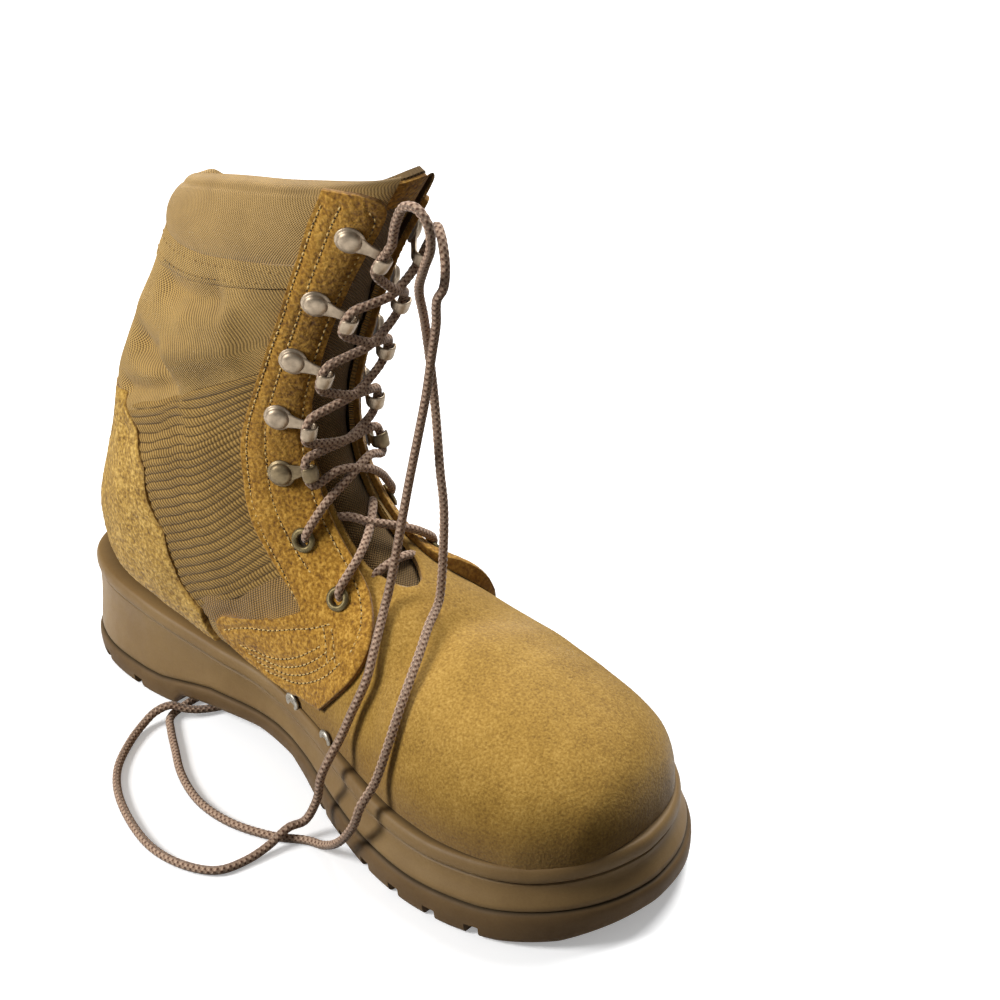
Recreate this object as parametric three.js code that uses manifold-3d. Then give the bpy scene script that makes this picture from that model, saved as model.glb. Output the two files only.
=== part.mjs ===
// Combat boot, left foot. Millimetres, +X to the toe, +Y to the lateral side, +Z up, floor at z = 0.
import * as THREE from 'three';
import { mergeVertices } from 'three/addons/utils/BufferGeometryUtils.js';
import Module from 'manifold-3d';

const wasm = await Module();
wasm.setup();

// Driving dimensions
const LENGTH = 312; // sole, back of the heel to the toe
const BALL_WIDTH = 104; // upper across the ball
const BOOT_HEIGHT = 256; // floor to the top of the eyestays
const WALL = 2.5; // suede or nylon with its lining
const GAP = 0.3; // between pieces that touch
const CUP_CLEARANCE = 0.9; // between the facets of the cup and those of the upper
const OVERLAY_INNER = 0.8; // from the form to the underside of the suede overlays
const OVERLAY_OUTER = 2.5; // and to their outer face
const LACE_RADIUS = 1.9;
const THROAT_HALF_ANGLE = 17; // half of the gap between the eyestays, degrees round the section
const LAST_MARGIN_ANGLE = 30; // half of the opening underneath, degrees round the section

const lerp = (a, b, t) => a + (b - a) * t;
const clamp = (x, a, b) => Math.min(Math.max(x, a), b);
const smooth = (a, b, x) => {
  const t = clamp((x - a) / (b - a), 0, 1);
  return t * t * (3 - 2 * t);
};

/** Catmull-Rom curve through four values, t from the second to the third. */
function spline(a, b, c, d, t) {
  return 0.5 * (2 * b + (c - a) * t + (2 * a - 5 * b + 4 * c - d) * t * t + (3 * b - a - 3 * c + d) * t ** 3);
}

/** Piecewise straight table look-up: rows [x, value...], returns the value in the given column. */
function table(rows, x, column = 1) {
  const last = rows.length - 1;
  if (x <= rows[0][0]) return rows[0][column];
  if (x >= rows[last][0]) return rows[last][column];
  const i = rows.findIndex((row) => row[0] > x);
  return lerp(rows[i - 1][column], rows[i][column], (x - rows[i - 1][0]) / (rows[i][0] - rows[i - 1][0]));
}

// ---------------------------------------------------------------- form of the upper
// The sections fan round from upright at the toe to nearly level in the shaft. A row gives the
// front (or top) point and the back (or bottom) point of its section in side view, x in percent of
// LENGTH and z in percent of BOOT_HEIGHT, then in percent of BALL_WIDTH the centre's y and the
// half widths, then where the section is widest, from front to back, and the powers of the two
// half ellipses: 2 is an ellipse and more is squarer.
const SECTIONS = [
  // frontX frontZ backX backZ centreY medial lateral widest frontPower backPower
  [98.4, 16.0, 98.4, 16.0, -7.7, 0.0, 0.0, 0.50, 2.0, 2.0], // toe tip
  [97.4, 20.7, 97.8, 11.3, -6.7, 16.3, 17.3, 0.58, 2.1, 2.2],
  [94.9, 24.2, 95.2, 8.6, -4.3, 29.8, 30.8, 0.64, 2.2, 2.6],
  [89.7, 27.1, 90.4, 7.4, -2.9, 41.8, 42.8, 0.68, 2.2, 3.0],
  [81.4, 29.7, 82.1, 7.0, -1.9, 48.1, 48.1, 0.70, 2.1, 3.4],
  [72.4, 31.2, 71.8, 7.0, 0.0, 48.6, 50.0, 0.72, 2.0, 3.6], // ball
  [65.1, 33.2, 60.9, 7.4, 1.0, 42.3, 47.1, 0.74, 2.0, 3.6],
  [58.0, 36.7, 48.1, 8.2, 1.0, 33.7, 41.3, 0.74, 2.0, 3.4], // throat, waist
  [52.9, 42.0, 34.6, 10.2, 1.0, 30.3, 35.6, 0.72, 2.0, 3.2],
  [49.7, 48.8, 21.2, 12.1, 1.0, 31.7, 33.7, 0.68, 2.0, 3.0], // instep
  [48.4, 55.9, 8.0, 14.1, 1.0, 32.7, 32.7, 0.62, 2.1, 2.8], // heel seat
  [49.0, 62.5, 1.9, 22.7, 1.0, 31.7, 31.7, 0.60, 2.2, 2.4],
  [50.6, 69.5, 4.2, 35.9, 1.9, 29.8, 30.0, 0.56, 2.3, 2.3],
  [52.9, 76.6, 7.7, 48.8, 3.5, 28.5, 27.5, 0.54, 2.3, 2.3], // ankle
  [55.8, 83.6, 12.2, 61.3, 4.6, 26.7, 25.0, 0.52, 2.3, 2.3],
  [59.0, 90.2, 17.0, 74.2, 6.7, 24.9, 22.3, 0.50, 2.3, 2.3],
  [62.8, 96.9, 22.1, 85.9, 8.7, 24.1, 19.8, 0.50, 2.3, 2.3], // collar
  [66.3, 103.1, 26.9, 97.7, 10.8, 23.3, 17.6, 0.50, 2.3, 2.3],
  [69.9, 109.4, 32.1, 109.4, 12.9, 22.5, 15.5, 0.50, 2.3, 2.3],
];
const SCALES = [LENGTH, BOOT_HEIGHT, LENGTH, BOOT_HEIGHT, BALL_WIDTH, BALL_WIDTH, BALL_WIDTH];
const scaled = (value, i) => (i < SCALES.length ? (value * SCALES[i]) / 100 : value);
const FORM = SECTIONS.map((row) => row.map(scaled));
const LAST_ROW = FORM.length - 1;

/** The row before the toe tip: the next row turned over, so that the toe closes round. */
function mirroredRow() {
  const [tip, next] = FORM;
  const row = [...next];
  row[1] = 2 * tip[1] - next[1];
  row[3] = 2 * tip[3] - next[3];
  row[5] = -next[5];
  row[6] = -next[6];
  return row;
}
const BEFORE_TIP = mirroredRow();
const AFTER_TOP = FORM[LAST_ROW].map((value, i) => 2 * value - FORM[LAST_ROW - 1][i]);
const formRow = (i) => (i < 0 ? BEFORE_TIP : i > LAST_ROW ? AFTER_TOP : FORM[i]);

/** The section at u, in rows of the table. */
function section(u) {
  const i = clamp(Math.floor(u), 0, LAST_ROW - 1);
  const rows = [formRow(i - 1), formRow(i), formRow(i + 1), formRow(i + 2)];
  return rows[1].map((_, k) => spline(rows[0][k], rows[1][k], rows[2][k], rows[3][k], u - i));
}

const COLLAR_SAG = 0.8; // rows that the soft collar has sunk on the lateral side

/** How far the form has sunk at u, v, in rows. */
function sag(u, v) {
  return COLLAR_SAG * smooth(12.5, 16.5, u) * smooth(0, 60, v) * (1 - smooth(110, 180, v));
}

/** A point of the bare form: v is degrees round the section, 0 in front, negative on the medial side. */
function formPoint(u, v) {
  const angle = THREE.MathUtils.degToRad(v);
  const along = Math.cos(angle);
  const across = Math.sin(angle);
  const [frontX, frontZ, backX, backZ, centreY, medial, lateral, widest, frontPower, backPower] =
    section(u - sag(u, v));
  const power = along >= 0 ? frontPower : backPower;
  const reach = along >= 0 ? -widest : 1 - widest;
  const t = widest + reach * Math.abs(along) ** (2 / power);
  const half = across < 0 ? medial : lateral;
  const y = centreY + Math.sign(across) * Math.abs(across) ** (2 / power) * half;
  return new THREE.Vector3(lerp(frontX, backX, t), y, lerp(frontZ, backZ, t));
}

const TIP_ZONE = 0.06; // rows round the toe tip where the normal is simply forward
function formNormal(u, v) {
  if (u < TIP_ZONE) return new THREE.Vector3(1, 0, 0);
  const alongU = formPoint(Math.min(u + 0.02, LAST_ROW), v).sub(formPoint(u - 0.02, v));
  const alongV = formPoint(u, v + 1.5).sub(formPoint(u, v - 1.5));
  return alongV.cross(alongU).normalize();
}

/** A point at a distance outside (or inside, if negative) the form. */
function offsetPoint(u, v, distance) {
  return formPoint(u, v).addScaledVector(formNormal(u, v), distance);
}

// ---------------------------------------------------------------- meshes and solids
/** Collects triangles from grids of points, and merges them into one closed geometry. */
class Skin {
  constructor() {
    this.positions = [];
  }

  triangle(a, b, c) {
    this.positions.push(...a.toArray(), ...b.toArray(), ...c.toArray());
  }

  /** Quads between rows of points; turned flips the faces. */
  grid(rows, turned = false) {
    for (let i = 0; i + 1 < rows.length; i += 1) {
      for (let j = 0; j + 1 < rows[i].length; j += 1) {
        const [a, b, c, d] = [rows[i][j], rows[i + 1][j], rows[i + 1][j + 1], rows[i][j + 1]];
        if (turned) {
          this.triangle(a, c, b);
          this.triangle(a, d, c);
        } else {
          this.triangle(a, b, c);
          this.triangle(a, c, d);
        }
      }
    }
  }

  /** The closed geometry, with its faces pointing out. */
  geometry() {
    const loose = new THREE.BufferGeometry();
    loose.setAttribute('position', new THREE.Float32BufferAttribute(this.positions, 3));
    const merged = closed(loose);
    if (signedVolume(merged) < 0) merged.setIndex([...merged.getIndex().array].reverse());
    return merged;
  }
}

function signedVolume(geometry) {
  const position = geometry.getAttribute('position');
  const index = geometry.getIndex().array;
  const corner = (i) => new THREE.Vector3().fromBufferAttribute(position, index[i]);
  let volume = 0;
  for (let i = 0; i < index.length; i += 3) volume += corner(i).dot(corner(i + 1).cross(corner(i + 2))) / 6;
  return volume;
}

/** Shared vertices are merged, and triangles without area are dropped. */
function closed(geometry, tolerance = 1e-3) {
  const bare = geometry.clone();
  bare.deleteAttribute('normal');
  bare.deleteAttribute('uv');
  const merged = mergeVertices(bare, tolerance);
  const index = merged.getIndex().array;
  const kept = [];
  for (let i = 0; i < index.length; i += 3) {
    const [a, b, c] = [index[i], index[i + 1], index[i + 2]];
    if (a !== b && b !== c && c !== a) kept.push(a, b, c);
  }
  merged.setIndex(kept);
  return merged;
}

function solid(geometry) {
  const merged = closed(geometry);
  return new wasm.Manifold(
    new wasm.Mesh({
      numProp: 3,
      vertProperties: new Float32Array(merged.getAttribute('position').array),
      triVerts: new Uint32Array(merged.getIndex().array),
    }),
  );
}

function fromSolid(body) {
  const mesh = body.getMesh();
  const geometry = new THREE.BufferGeometry();
  geometry.setAttribute('position', new THREE.BufferAttribute(new Float32Array(mesh.vertProperties), 3));
  geometry.setIndex(new THREE.BufferAttribute(new Uint32Array(mesh.triVerts), 1));
  return geometry;
}

/**
 * A closed sheet over the form. place(a, b) gives [u, v] for a and b from 0 to 1, and the sheet
 * fills from the inner to the outer distance, each a number or a function of u and v.
 */
function sheet(place, stepsA, stepsB, inner, outer) {
  const at = (distance, u, v) => (typeof distance === 'function' ? distance(u, v) : distance);
  const layer = (distance) =>
    Array.from({ length: stepsA + 1 }, (_, i) =>
      Array.from({ length: stepsB + 1 }, (__, j) => {
        const [u, v] = place(i / stepsA, j / stepsB);
        return offsetPoint(u, v, at(distance, u, v));
      }),
    );
  const outside = layer(outer);
  const inside = layer(inner);
  const skin = new Skin();
  skin.grid(outside, true);
  skin.grid(inside);
  skin.grid([outside[0], inside[0]]);
  skin.grid([outside[stepsA], inside[stepsA]], true);
  skin.grid([outside.map((row) => row[0]), inside.map((row) => row[0])], true);
  skin.grid([outside.map((row) => row[stepsB]), inside.map((row) => row[stepsB])]);
  return skin.geometry();
}

// ---------------------------------------------------------------- upper
// In rows:
const COLLAR_FRONT = 16.3; // where the top edge runs in front,
const COLLAR_BACK = 16.45; // where it would run at the back,
const COLLAR_DIP = 0.22; // and how far it dips there
const DIP_START = 11; // the rows above this one follow the top edge
const SHAFT_START = 8.4; // where the vamp meets the shaft
const SHAFT_MIDDLE = 12.3; // where the heel and webbing part of the shaft meets the part above
const SEAM = 0.02; // left open between them
const THROAT_START = 5.9;
const THROAT_ROUND = 0.7; // rows over which the throat opens to its full width
const UNDER_START = 0.9; // the opening underneath
const UNDER_END = 10.15;
const UNDER_ROUND = 1.2;
const RING_STEPS = 15; // quads round half of a section

/** The row of the top edge at v, which dips over the heel. */
function collarEdge(v) {
  const back = -Math.cos(THREE.MathUtils.degToRad(v));
  return lerp(COLLAR_FRONT, COLLAR_BACK, (1 + back) / 2) - COLLAR_DIP * Math.max(0, back) ** 2;
}

const throatAngle = (u) => THROAT_HALF_ANGLE * Math.sqrt(clamp((u - THROAT_START) / THROAT_ROUND, 0, 1));

function underAngle(u) {
  const opening = clamp((u - UNDER_START) / UNDER_ROUND, 0, 1);
  const closing = clamp((UNDER_END - u) / (UNDER_ROUND / 2), 0, 1);
  return LAST_MARGIN_ANGLE * Math.sqrt(Math.min(opening, closing));
}

/** Rows along the boot, closer at the toe and where openings begin and end. */
function upperRows() {
  const rows = [0, 0.15, 0.35, 0.6, UNDER_START, 1.2, 1.6, UNDER_START + UNDER_ROUND, 2.6, 3.2, 4, 5];
  rows.push(THROAT_START, THROAT_START + 0.15, THROAT_START + 0.35, THROAT_START + THROAT_ROUND);
  rows.push(7.2, 7.8, SHAFT_START, 9);
  rows.push(UNDER_END - UNDER_ROUND / 2, UNDER_END - 0.2, UNDER_END, 10.5, 10.9);
  rows.push(11.3, 11.8, SHAFT_MIDDLE, 12.8, 13.3, 14.1, 14.9, 15.7, COLLAR_BACK);
  return rows;
}

/** Half of a shell, one side: its wall edges exist only where throat and underside are open. */
function addUpperSide(skin, side, rows) {
  const layer = (distance) =>
    rows.map((row) =>
      Array.from({ length: RING_STEPS + 1 }, (_, j) => {
        const v = side * lerp(throatAngle(row), 180 - underAngle(row), j / RING_STEPS);
        const u = (row * collarEdge(v)) / COLLAR_BACK;
        return offsetPoint(row > DIP_START ? u : row, v, distance);
      }),
    );
  const outside = layer(0);
  const inside = layer(-WALL);
  const top = rows.length - 1;
  skin.grid(outside, side > 0);
  skin.grid(inside, side < 0);
  skin.grid([outside[top], inside[top]], side > 0);
  if (rows[0] > 0) skin.grid([outside[0], inside[0]], side < 0);
  for (let i = 0; i < top; i += 1) {
    if (throatAngle(rows[i + 1]) > 0) {
      skin.grid([[outside[i][0], inside[i][0]], [outside[i + 1][0], inside[i + 1][0]]], side < 0);
    }
    if (underAngle(rows[i]) + underAngle(rows[i + 1]) > 0) {
      const j = RING_STEPS;
      skin.grid([[outside[i][j], inside[i][j]], [outside[i + 1][j], inside[i + 1][j]]], side > 0);
    }
  }
}

function shellGeometry(rows) {
  const skin = new Skin();
  addUpperSide(skin, -1, rows);
  addUpperSide(skin, 1, rows);
  return skin.geometry();
}

const rowsUpTo = (low, high) => [...upperRows().filter((row) => row >= low && row < high), high - SEAM];

// ---------------------------------------------------------------- tongue, insole, collar pad
// Rows along each, and the distances of its inner and outer face inside the wall.
const TONGUE = { start: 4.9, wide: 9, end: 16.15, inner: 3.6, outer: 0.9 };
const INSOLE = { start: 1.3, end: 10.1, inner: 4.8, outer: 1.5 };
const COLLAR_PAD = { start: 14.7, end: 16.15, inner: 4.5, outer: 0.4 };
const COLLAR_PAD_ENDS = [62, 298]; // degrees round the section
const COLLAR_PAD_RISE = 0.35; // rows, towards the heel

function tongueGeometry() {
  const halfAngle = (u) => lerp(30, 44, smooth(TONGUE.start, TONGUE.wide, u));
  const place = (a, b) => {
    const u = lerp(TONGUE.start, TONGUE.end, a);
    return [u, lerp(-1, 1, b) * halfAngle(u)];
  };
  return sheet(place, 20, 5, -WALL - TONGUE.inner, -WALL - TONGUE.outer);
}

function insoleGeometry() {
  const place = (a, b) => {
    const u = lerp(INSOLE.start, INSOLE.end, a);
    const halfAngle = 52 * Math.sqrt(clamp(Math.min((u - 0.9) / 1.2, (10.5 - u) / 0.6), 0, 1));
    return [u, 180 + lerp(-1, 1, b) * halfAngle];
  };
  return sheet(place, 13, 6, -WALL - INSOLE.inner, -WALL - INSOLE.outer);
}

function collarPadGeometry() {
  const place = (a, b) => {
    const v = lerp(...COLLAR_PAD_ENDS, b);
    const rise = COLLAR_PAD_RISE * Math.abs(Math.sin(THREE.MathUtils.degToRad(v / 2)));
    return [lerp(COLLAR_PAD.start, COLLAR_PAD.end, a) + rise, v];
  };
  return sheet(place, 4, 18, -WALL - COLLAR_PAD.inner, -WALL - COLLAR_PAD.outer);
}

// ---------------------------------------------------------------- sole
// Plan outline in percent of LENGTH: x, then y of the medial and of the lateral edge.
const OUTLINE = [
  [0.0, -0.3, 0.3],
  [1.3, -5.4, 5.4],
  [4.0, -9.2, 9.2],
  [9.6, -12.0, 12.0],
  [19.2, -13.0, 13.0],
  [32.1, -12.0, 13.0],
  [41.7, -11.1, 14.0],
  [51.3, -12.4, 15.9],
  [60.9, -15.3, 17.6],
  [68.9, -17.6, 18.5],
  [76.9, -18.6, 18.1],
  [84.0, -18.0, 17.0],
  [90.4, -16.0, 14.6],
  [95.5, -12.2, 10.3],
  [98.7, -7.4, 5.2],
  [100.0, -2.6, 0.2],
].map((row) => row.map((value) => (value * LENGTH) / 100));

/** The outline as one ring of points, medial edge from heel to toe, then lateral edge back. */
function outlineRing(insetAt) {
  const medial = OUTLINE.map(([x, y]) => new THREE.Vector2(x, y));
  const lateral = OUTLINE.map(([x, , y]) => new THREE.Vector2(x, y)).reverse();
  const ring = [...medial, ...lateral];
  const curve = new THREE.CatmullRomCurve3(
    ring.map((p) => new THREE.Vector3(p.x, p.y, 0)),
    true,
    'centripetal',
  );
  const count = ring.length * 2;
  return Array.from({ length: count }, (_, i) => {
    const at = curve.getPoint(i / count);
    const ahead = curve.getPoint(((i + 0.3) / count) % 1);
    const behind = curve.getPoint(((i - 0.3 + count) / count) % 1);
    const along = ahead.sub(behind).normalize();
    const inset = insetAt(at.x);
    return new THREE.Vector2(at.x - along.y * inset, at.y + along.x * inset);
  });
}

/** A closed body through levels, each an inset of the outline with a height that depends on x. */
function outlineLoft(levels) {
  const rings = levels.map(({ inset, height }) =>
    outlineRing(inset).map((p) => new THREE.Vector3(p.x, p.y, height(p.x))),
  );
  const skin = new Skin();
  skin.grid(rings.map((ring) => [...ring, ring[0]]), true);
  addCap(skin, rings[0], true);
  addCap(skin, rings[rings.length - 1], false);
  return skin.geometry();
}

/** Cross strips from the medial to the lateral edge, because the cap follows the arch. */
function addCap(skin, ring, downwards) {
  const count = ring.length;
  const start = count - 1;
  const strips = [];
  for (let i = 0; i <= count / 2 - 1; i += 1) strips.push([ring[i], ring[start - i]]);
  skin.grid(strips, downwards);
}

// Heights along the sole, as x and z, and how far the tread swells past the outline
const GROUND = [[0, 4], [14, 0], [76, 0], [81, 6], [100, 8], [128, 9], [150, 7], [168, 1], [178, 0], [262, 0],
  [280, 0.8], [298, 3], [312, 8]];
const PARTING = [[0, 11], [70, 11.5], [100, 17], [140, 17], [170, 14], [245, 13], [275, 14], [312, 18]];
const RIM = [[0, 50], [20, 49.5], [60, 46], [110, 39], [160, 33.5], [200, 31.5], [250, 31], [290, 33],
  [312, 36]];
const SWELL = [[0, 2.2], [60, 1.8], [90, 0.3], [150, 0], [190, 2.5], [240, 3], [312, 3]];

const groundHeight = (x) => table(GROUND, x);
const partingHeight = (x) => table(PARTING, x);
const rimHeight = (x) => table(RIM, x);
const swell = (x) => table(SWELL, x);

// Notches between the lugs along both edges of the tread.
const NOTCHES = [28, 54, 181, 199, 217, 235, 253, 271];
const NOTCH_WIDTH = 5;
const NOTCH_DEPTH = 5;
const NOTCH_REACH = 11; // in from the edge

const edgeY = (x, side) => table(OUTLINE.map((row) => [row[0], side < 0 ? row[1] : row[2]]), x);

function notch(x, side) {
  const slope = Math.atan2(edgeY(x + 4, side) - edgeY(x - 4, side), 8);
  const box = new THREE.BoxGeometry(NOTCH_WIDTH, 2 * NOTCH_REACH, 2 * NOTCH_DEPTH);
  return solid(box.rotateZ(slope).translate(x, edgeY(x, side), groundHeight(x)));
}

function outsoleGeometry() {
  let body = solid(
    outlineLoft([
      { inset: (x) => 2.4 - swell(x), height: groundHeight },
      { inset: (x) => 0.4 - swell(x), height: (x) => groundHeight(x) + 2.2 },
      { inset: (x) => -swell(x), height: (x) => lerp(groundHeight(x), partingHeight(x), 0.6) },
      { inset: (x) => 1.2 - swell(x), height: partingHeight },
    ]),
  );
  for (const x of NOTCHES) body = body.subtract(notch(x, -1)).subtract(notch(x, 1));
  return fromSolid(body);
}

/** The space of the upper's form with the pieces' gap round it, closed at the instep. */
function formBody(distance) {
  const steps = 36;
  const rows = [0, 0.15, 0.35, 0.6, 0.9, 1.3, 1.8, 2.4, 3.2, 4, 5, 6, 7, 8, 8.7, 9.4, 10];
  rows.push(10.3, 10.6, 10.9, 11.3, 12, 13);
  const grid = rows.map((u) =>
    Array.from({ length: steps + 1 }, (_, j) => offsetPoint(u, -180 + (360 * (j % steps)) / steps, distance)),
  );
  const skin = new Skin();
  skin.grid(grid, true);
  const top = grid[grid.length - 1];
  const centre = top.slice(1).reduce((sum, p) => sum.add(p), new THREE.Vector3()).divideScalar(steps);
  skin.grid([top, top.map(() => centre)], true);
  return solid(skin.geometry());
}

function midsoleBody() {
  const cup = solid(
    outlineLoft([
      { inset: (x) => 2.6 - swell(x), height: (x) => partingHeight(x) + GAP },
      { inset: (x) => 1 - 0.7 * swell(x), height: (x) => partingHeight(x) + 2.5 },
      { inset: () => 2, height: (x) => rimHeight(x) - 8 },
      { inset: () => 1.4, height: (x) => rimHeight(x) - 4.5 },
      { inset: () => 2.2, height: (x) => rimHeight(x) - 1 },
      { inset: () => 4.2, height: rimHeight },
    ]),
  );
  return cup.subtract(formBody(CUP_CLEARANCE));
}

// ---------------------------------------------------------------- suede overlays
/** Everything below the rim of the midsole, which the overlays stop at. */
function belowRim() {
  return solid(
    outlineLoft([
      { inset: () => -12, height: () => -5 },
      { inset: () => -12, height: (x) => rimHeight(x) + 2 * GAP },
    ]),
  );
}
const BELOW_RIM = belowRim();

// Front and rear edge of a quarter from the top of its eyestay to the tab at the sole, as rows of
// the form and degrees from the front.
const QUARTER = [
  // frontU frontV rearU rearV
  [16.15, 42, 16.3, 61],
  [15.9, 27, 15.9, 60],
  [15.5, 18.5, 15.5, 59],
  [14.6, 17, 14.6, 54],
  [13.6, 17, 13.6, 50],
  [12.6, 17, 12.7, 49],
  [11.6, 17, 11.9, 49],
  [10.6, 17, 11.1, 49],
  [9.6, 18, 10.2, 49],
  [8.8, 20, 9.3, 52],
  [8.1, 21, 8.3, 55],
  [7.4, 22, 7.6, 59],
  [6.85, 26, 8.05, 77],
  [6.35, 39, 8.55, 90],
  [6.28, 58, 8.3, 100],
  [6.6, 84, 7.9, 101],
];

function quarterGeometry(side) {
  const last = QUARTER.length - 1;
  const place = (a, b) => {
    const i = Math.min(Math.floor(a * last), last - 1);
    const row = QUARTER[i].map((value, k) => lerp(value, QUARTER[i + 1][k], a * last - i));
    return [lerp(row[0], row[2], b), side * lerp(row[1], row[3], b)];
  };
  const whole = solid(sheet(place, last * 2, 6, OVERLAY_INNER, OVERLAY_OUTER));
  return fromSolid(whole.subtract(BELOW_RIM));
}

// Front edge of the heel counter: row of the form, degrees from the front.
const COUNTER = [
  [8.1, 122],
  [8.8, 94],
  [9.1, 92.5],
  [10.1, 86],
  [11.4, 90],
  [12.2, 106],
  [12.9, 128],
  [13.1, 150],
  [13.2, 172],
];

const COUNTER_TOP = [12.9, 13, 13.1, 13.15]; // closer rows where its top edge rounds over

function counterGeometry() {
  const [low, high] = [COUNTER[0][0], COUNTER[COUNTER.length - 1][0]];
  const inside = upperRows().filter((row) => row > low && row < COUNTER_TOP[0]);
  const rows = [low, ...inside, ...COUNTER_TOP, high];
  const place = (a, b) => {
    const u = rows[Math.round(a * (rows.length - 1))];
    const front = table(COUNTER, u);
    return [u, -lerp(front, 360 - front, b)];
  };
  const whole = solid(sheet(place, rows.length - 1, 18, OVERLAY_INNER + 0.3, OVERLAY_OUTER));
  return fromSolid(whole.subtract(BELOW_RIM));
}

// ---------------------------------------------------------------- hardware
/** Axes on the boot's surface: x towards the throat, y up along the rows, z out. */
function surfaceFrame(u, v, distance) {
  const outward = formNormal(u, v);
  const along = offsetPoint(u + 0.1, v, 0).sub(offsetPoint(u - 0.1, v, 0));
  const up = along.addScaledVector(outward, -along.dot(outward)).normalize();
  const forward = up.clone().cross(outward).multiplyScalar(-Math.sign(v));
  return { origin: offsetPoint(u, v, distance), forward, up, outward };
}

/** Moves a shape modelled at the origin to a frame; a left-handed frame mirrors it. */
function placed(geometry, { origin, forward, up, outward }) {
  const matrix = new THREE.Matrix4().makeBasis(forward, up, outward).setPosition(origin);
  const moved = closed(geometry).applyMatrix4(matrix);
  if (signedVolume(moved) < 0) moved.setIndex([...moved.getIndex().array].reverse());
  return moved;
}

const HOOK_ROWS = [15.15, 13.7, 12.4, 11.15, 9.8];
const HOOK_ANGLE = 33;
const HOOK_HEAD = [[0, 0], [5.4, 0], [5.4, 1], [3.6, 2.7], [0, 3.3]]; // radius and height
const HOOK_WIDTH = 4.6;
const HOOK_METAL = 1.1;
const HOOK_REACH = 12.5; // head to the middle of the curl
const CURL_INNER = 2.5;
const CURL_HEIGHT = CURL_INNER + HOOK_METAL + 0.2;
const CURL_START = -90;
const CURL_END = 130;
const CURL_STEPS = 5;

function hookArmShape() {
  const outer = [];
  const inner = [];
  for (let i = 0; i <= CURL_STEPS; i += 1) {
    const angle = THREE.MathUtils.degToRad(lerp(CURL_START, CURL_END, i / CURL_STEPS));
    const at = (radius) =>
      new THREE.Vector2(HOOK_REACH + radius * Math.cos(angle), CURL_HEIGHT + radius * Math.sin(angle));
    outer.push(at(CURL_INNER + HOOK_METAL));
    inner.push(at(CURL_INNER));
  }
  const root = [new THREE.Vector2(3, CURL_HEIGHT - CURL_INNER), new THREE.Vector2(3, 0.2)];
  return new THREE.Shape([...outer, ...inner.reverse(), ...root]);
}

function hookSolid() {
  const profile = HOOK_HEAD.map(([radius, height]) => new THREE.Vector2(radius, height));
  const head = new THREE.LatheGeometry(profile, 9).rotateX(Math.PI / 2).rotateZ(0.2);
  const arm = new THREE.ExtrudeGeometry(hookArmShape(), { depth: HOOK_WIDTH, bevelEnabled: false, steps: 1 });
  arm.translate(0, 0, -HOOK_WIDTH / 2).rotateX(Math.PI / 2);
  return solid(head).add(solid(arm));
}

const hookFrame = (side, row) => surfaceFrame(row, side * HOOK_ANGLE, OVERLAY_OUTER + 2 * GAP);

const EYELETS = [[8.45, 37], [7.25, 39]]; // row and degrees
function eyeletGeometry(frame) {
  const section = [[2.6, 0], [4.9, 0], [4.9, 0.7], [3.9, 1.4], [2.9, 1.3], [2.6, 0]];
  const profile = section.map(([radius, height]) => new THREE.Vector2(radius, height));
  return placed(new THREE.LatheGeometry(profile, 12).rotateX(Math.PI / 2), frame);
}

const VENTS = [[7.1, -97.5], [6.4, -95.5]]; // row and degrees
const VENT_RADIUS = 4.2;
const VENT_THICKNESS = 1.2;
function ventGeometry([u, v]) {
  const disc = new THREE.CylinderGeometry(VENT_RADIUS, VENT_RADIUS, VENT_THICKNESS, 16);
  disc.rotateX(Math.PI / 2).translate(0, 0, VENT_THICKNESS / 2);
  const whole = solid(placed(disc, surfaceFrame(u, v, CUP_CLEARANCE)));
  return fromSolid(whole.subtract(BELOW_RIM));
}

// ---------------------------------------------------------------- lace
/** A curve that a tube samples at its own points, so a straight stretch stays straight. */
class Route extends THREE.CatmullRomCurve3 {
  constructor(points) {
    super(points, false, 'centripetal');
  }

  getUtoTmapping(u) {
    return u;
  }
}

/** A lace with flat ends along a path. */
function tube(path, steps, radius = LACE_RADIUS) {
  const sides = 8;
  const ring = Array.from({ length: sides }, (_, i) => {
    const angle = (2 * Math.PI * i) / sides;
    return new THREE.Vector2(radius * Math.cos(angle), radius * Math.sin(angle));
  });
  return new THREE.ExtrudeGeometry(new THREE.Shape(ring), { steps, extrudePath: path, bevelEnabled: false });
}

const routeTube = (points) => tube(new Route(points), points.length - 1);

const CROSSING_LIFT = 3.5; // of the lace's middle, where it lies over the one it crosses
const CURL_LENGTH = 5; // how far the lace runs straight on each side of a hook's curl

/** The lace just below and just above a hook's curl. */
function throughHook(side, row) {
  const { origin, forward, up, outward } = hookFrame(side, row);
  const centre = origin.clone().addScaledVector(forward, HOOK_REACH).addScaledVector(outward, CURL_HEIGHT);
  return [-CURL_LENGTH, CURL_LENGTH].map((distance) => centre.clone().addScaledVector(up, distance));
}

/** From the upper eyelet of one side zigzag up the hooks to the top. */
function zigzag(side) {
  const start = [[8.55, 28, 4.9], [8.75, 19, 5.6], [9.05, 5, 7], [9.3, -9, 7.3]];
  const points = start.map(([u, v, distance]) => offsetPoint(u, side * v, distance));
  const rows = [...HOOK_ROWS].reverse();
  rows.forEach((row, i) => {
    const hook = throughHook(i % 2 === 0 ? -side : side, row);
    if (i > 0) {
      const above = points.slice(-2);
      const middle = above[1].clone().lerp(hook[0], 0.5).addScaledVector(formNormal(row, 0), CROSSING_LIFT);
      const bend = new THREE.CatmullRomCurve3([...above, middle, ...hook], false, 'centripetal');
      points.push(bend.getPoint(3 / 8), middle, bend.getPoint(5 / 8));
    }
    points.push(...hook);
  });
  return points;
}

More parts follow.
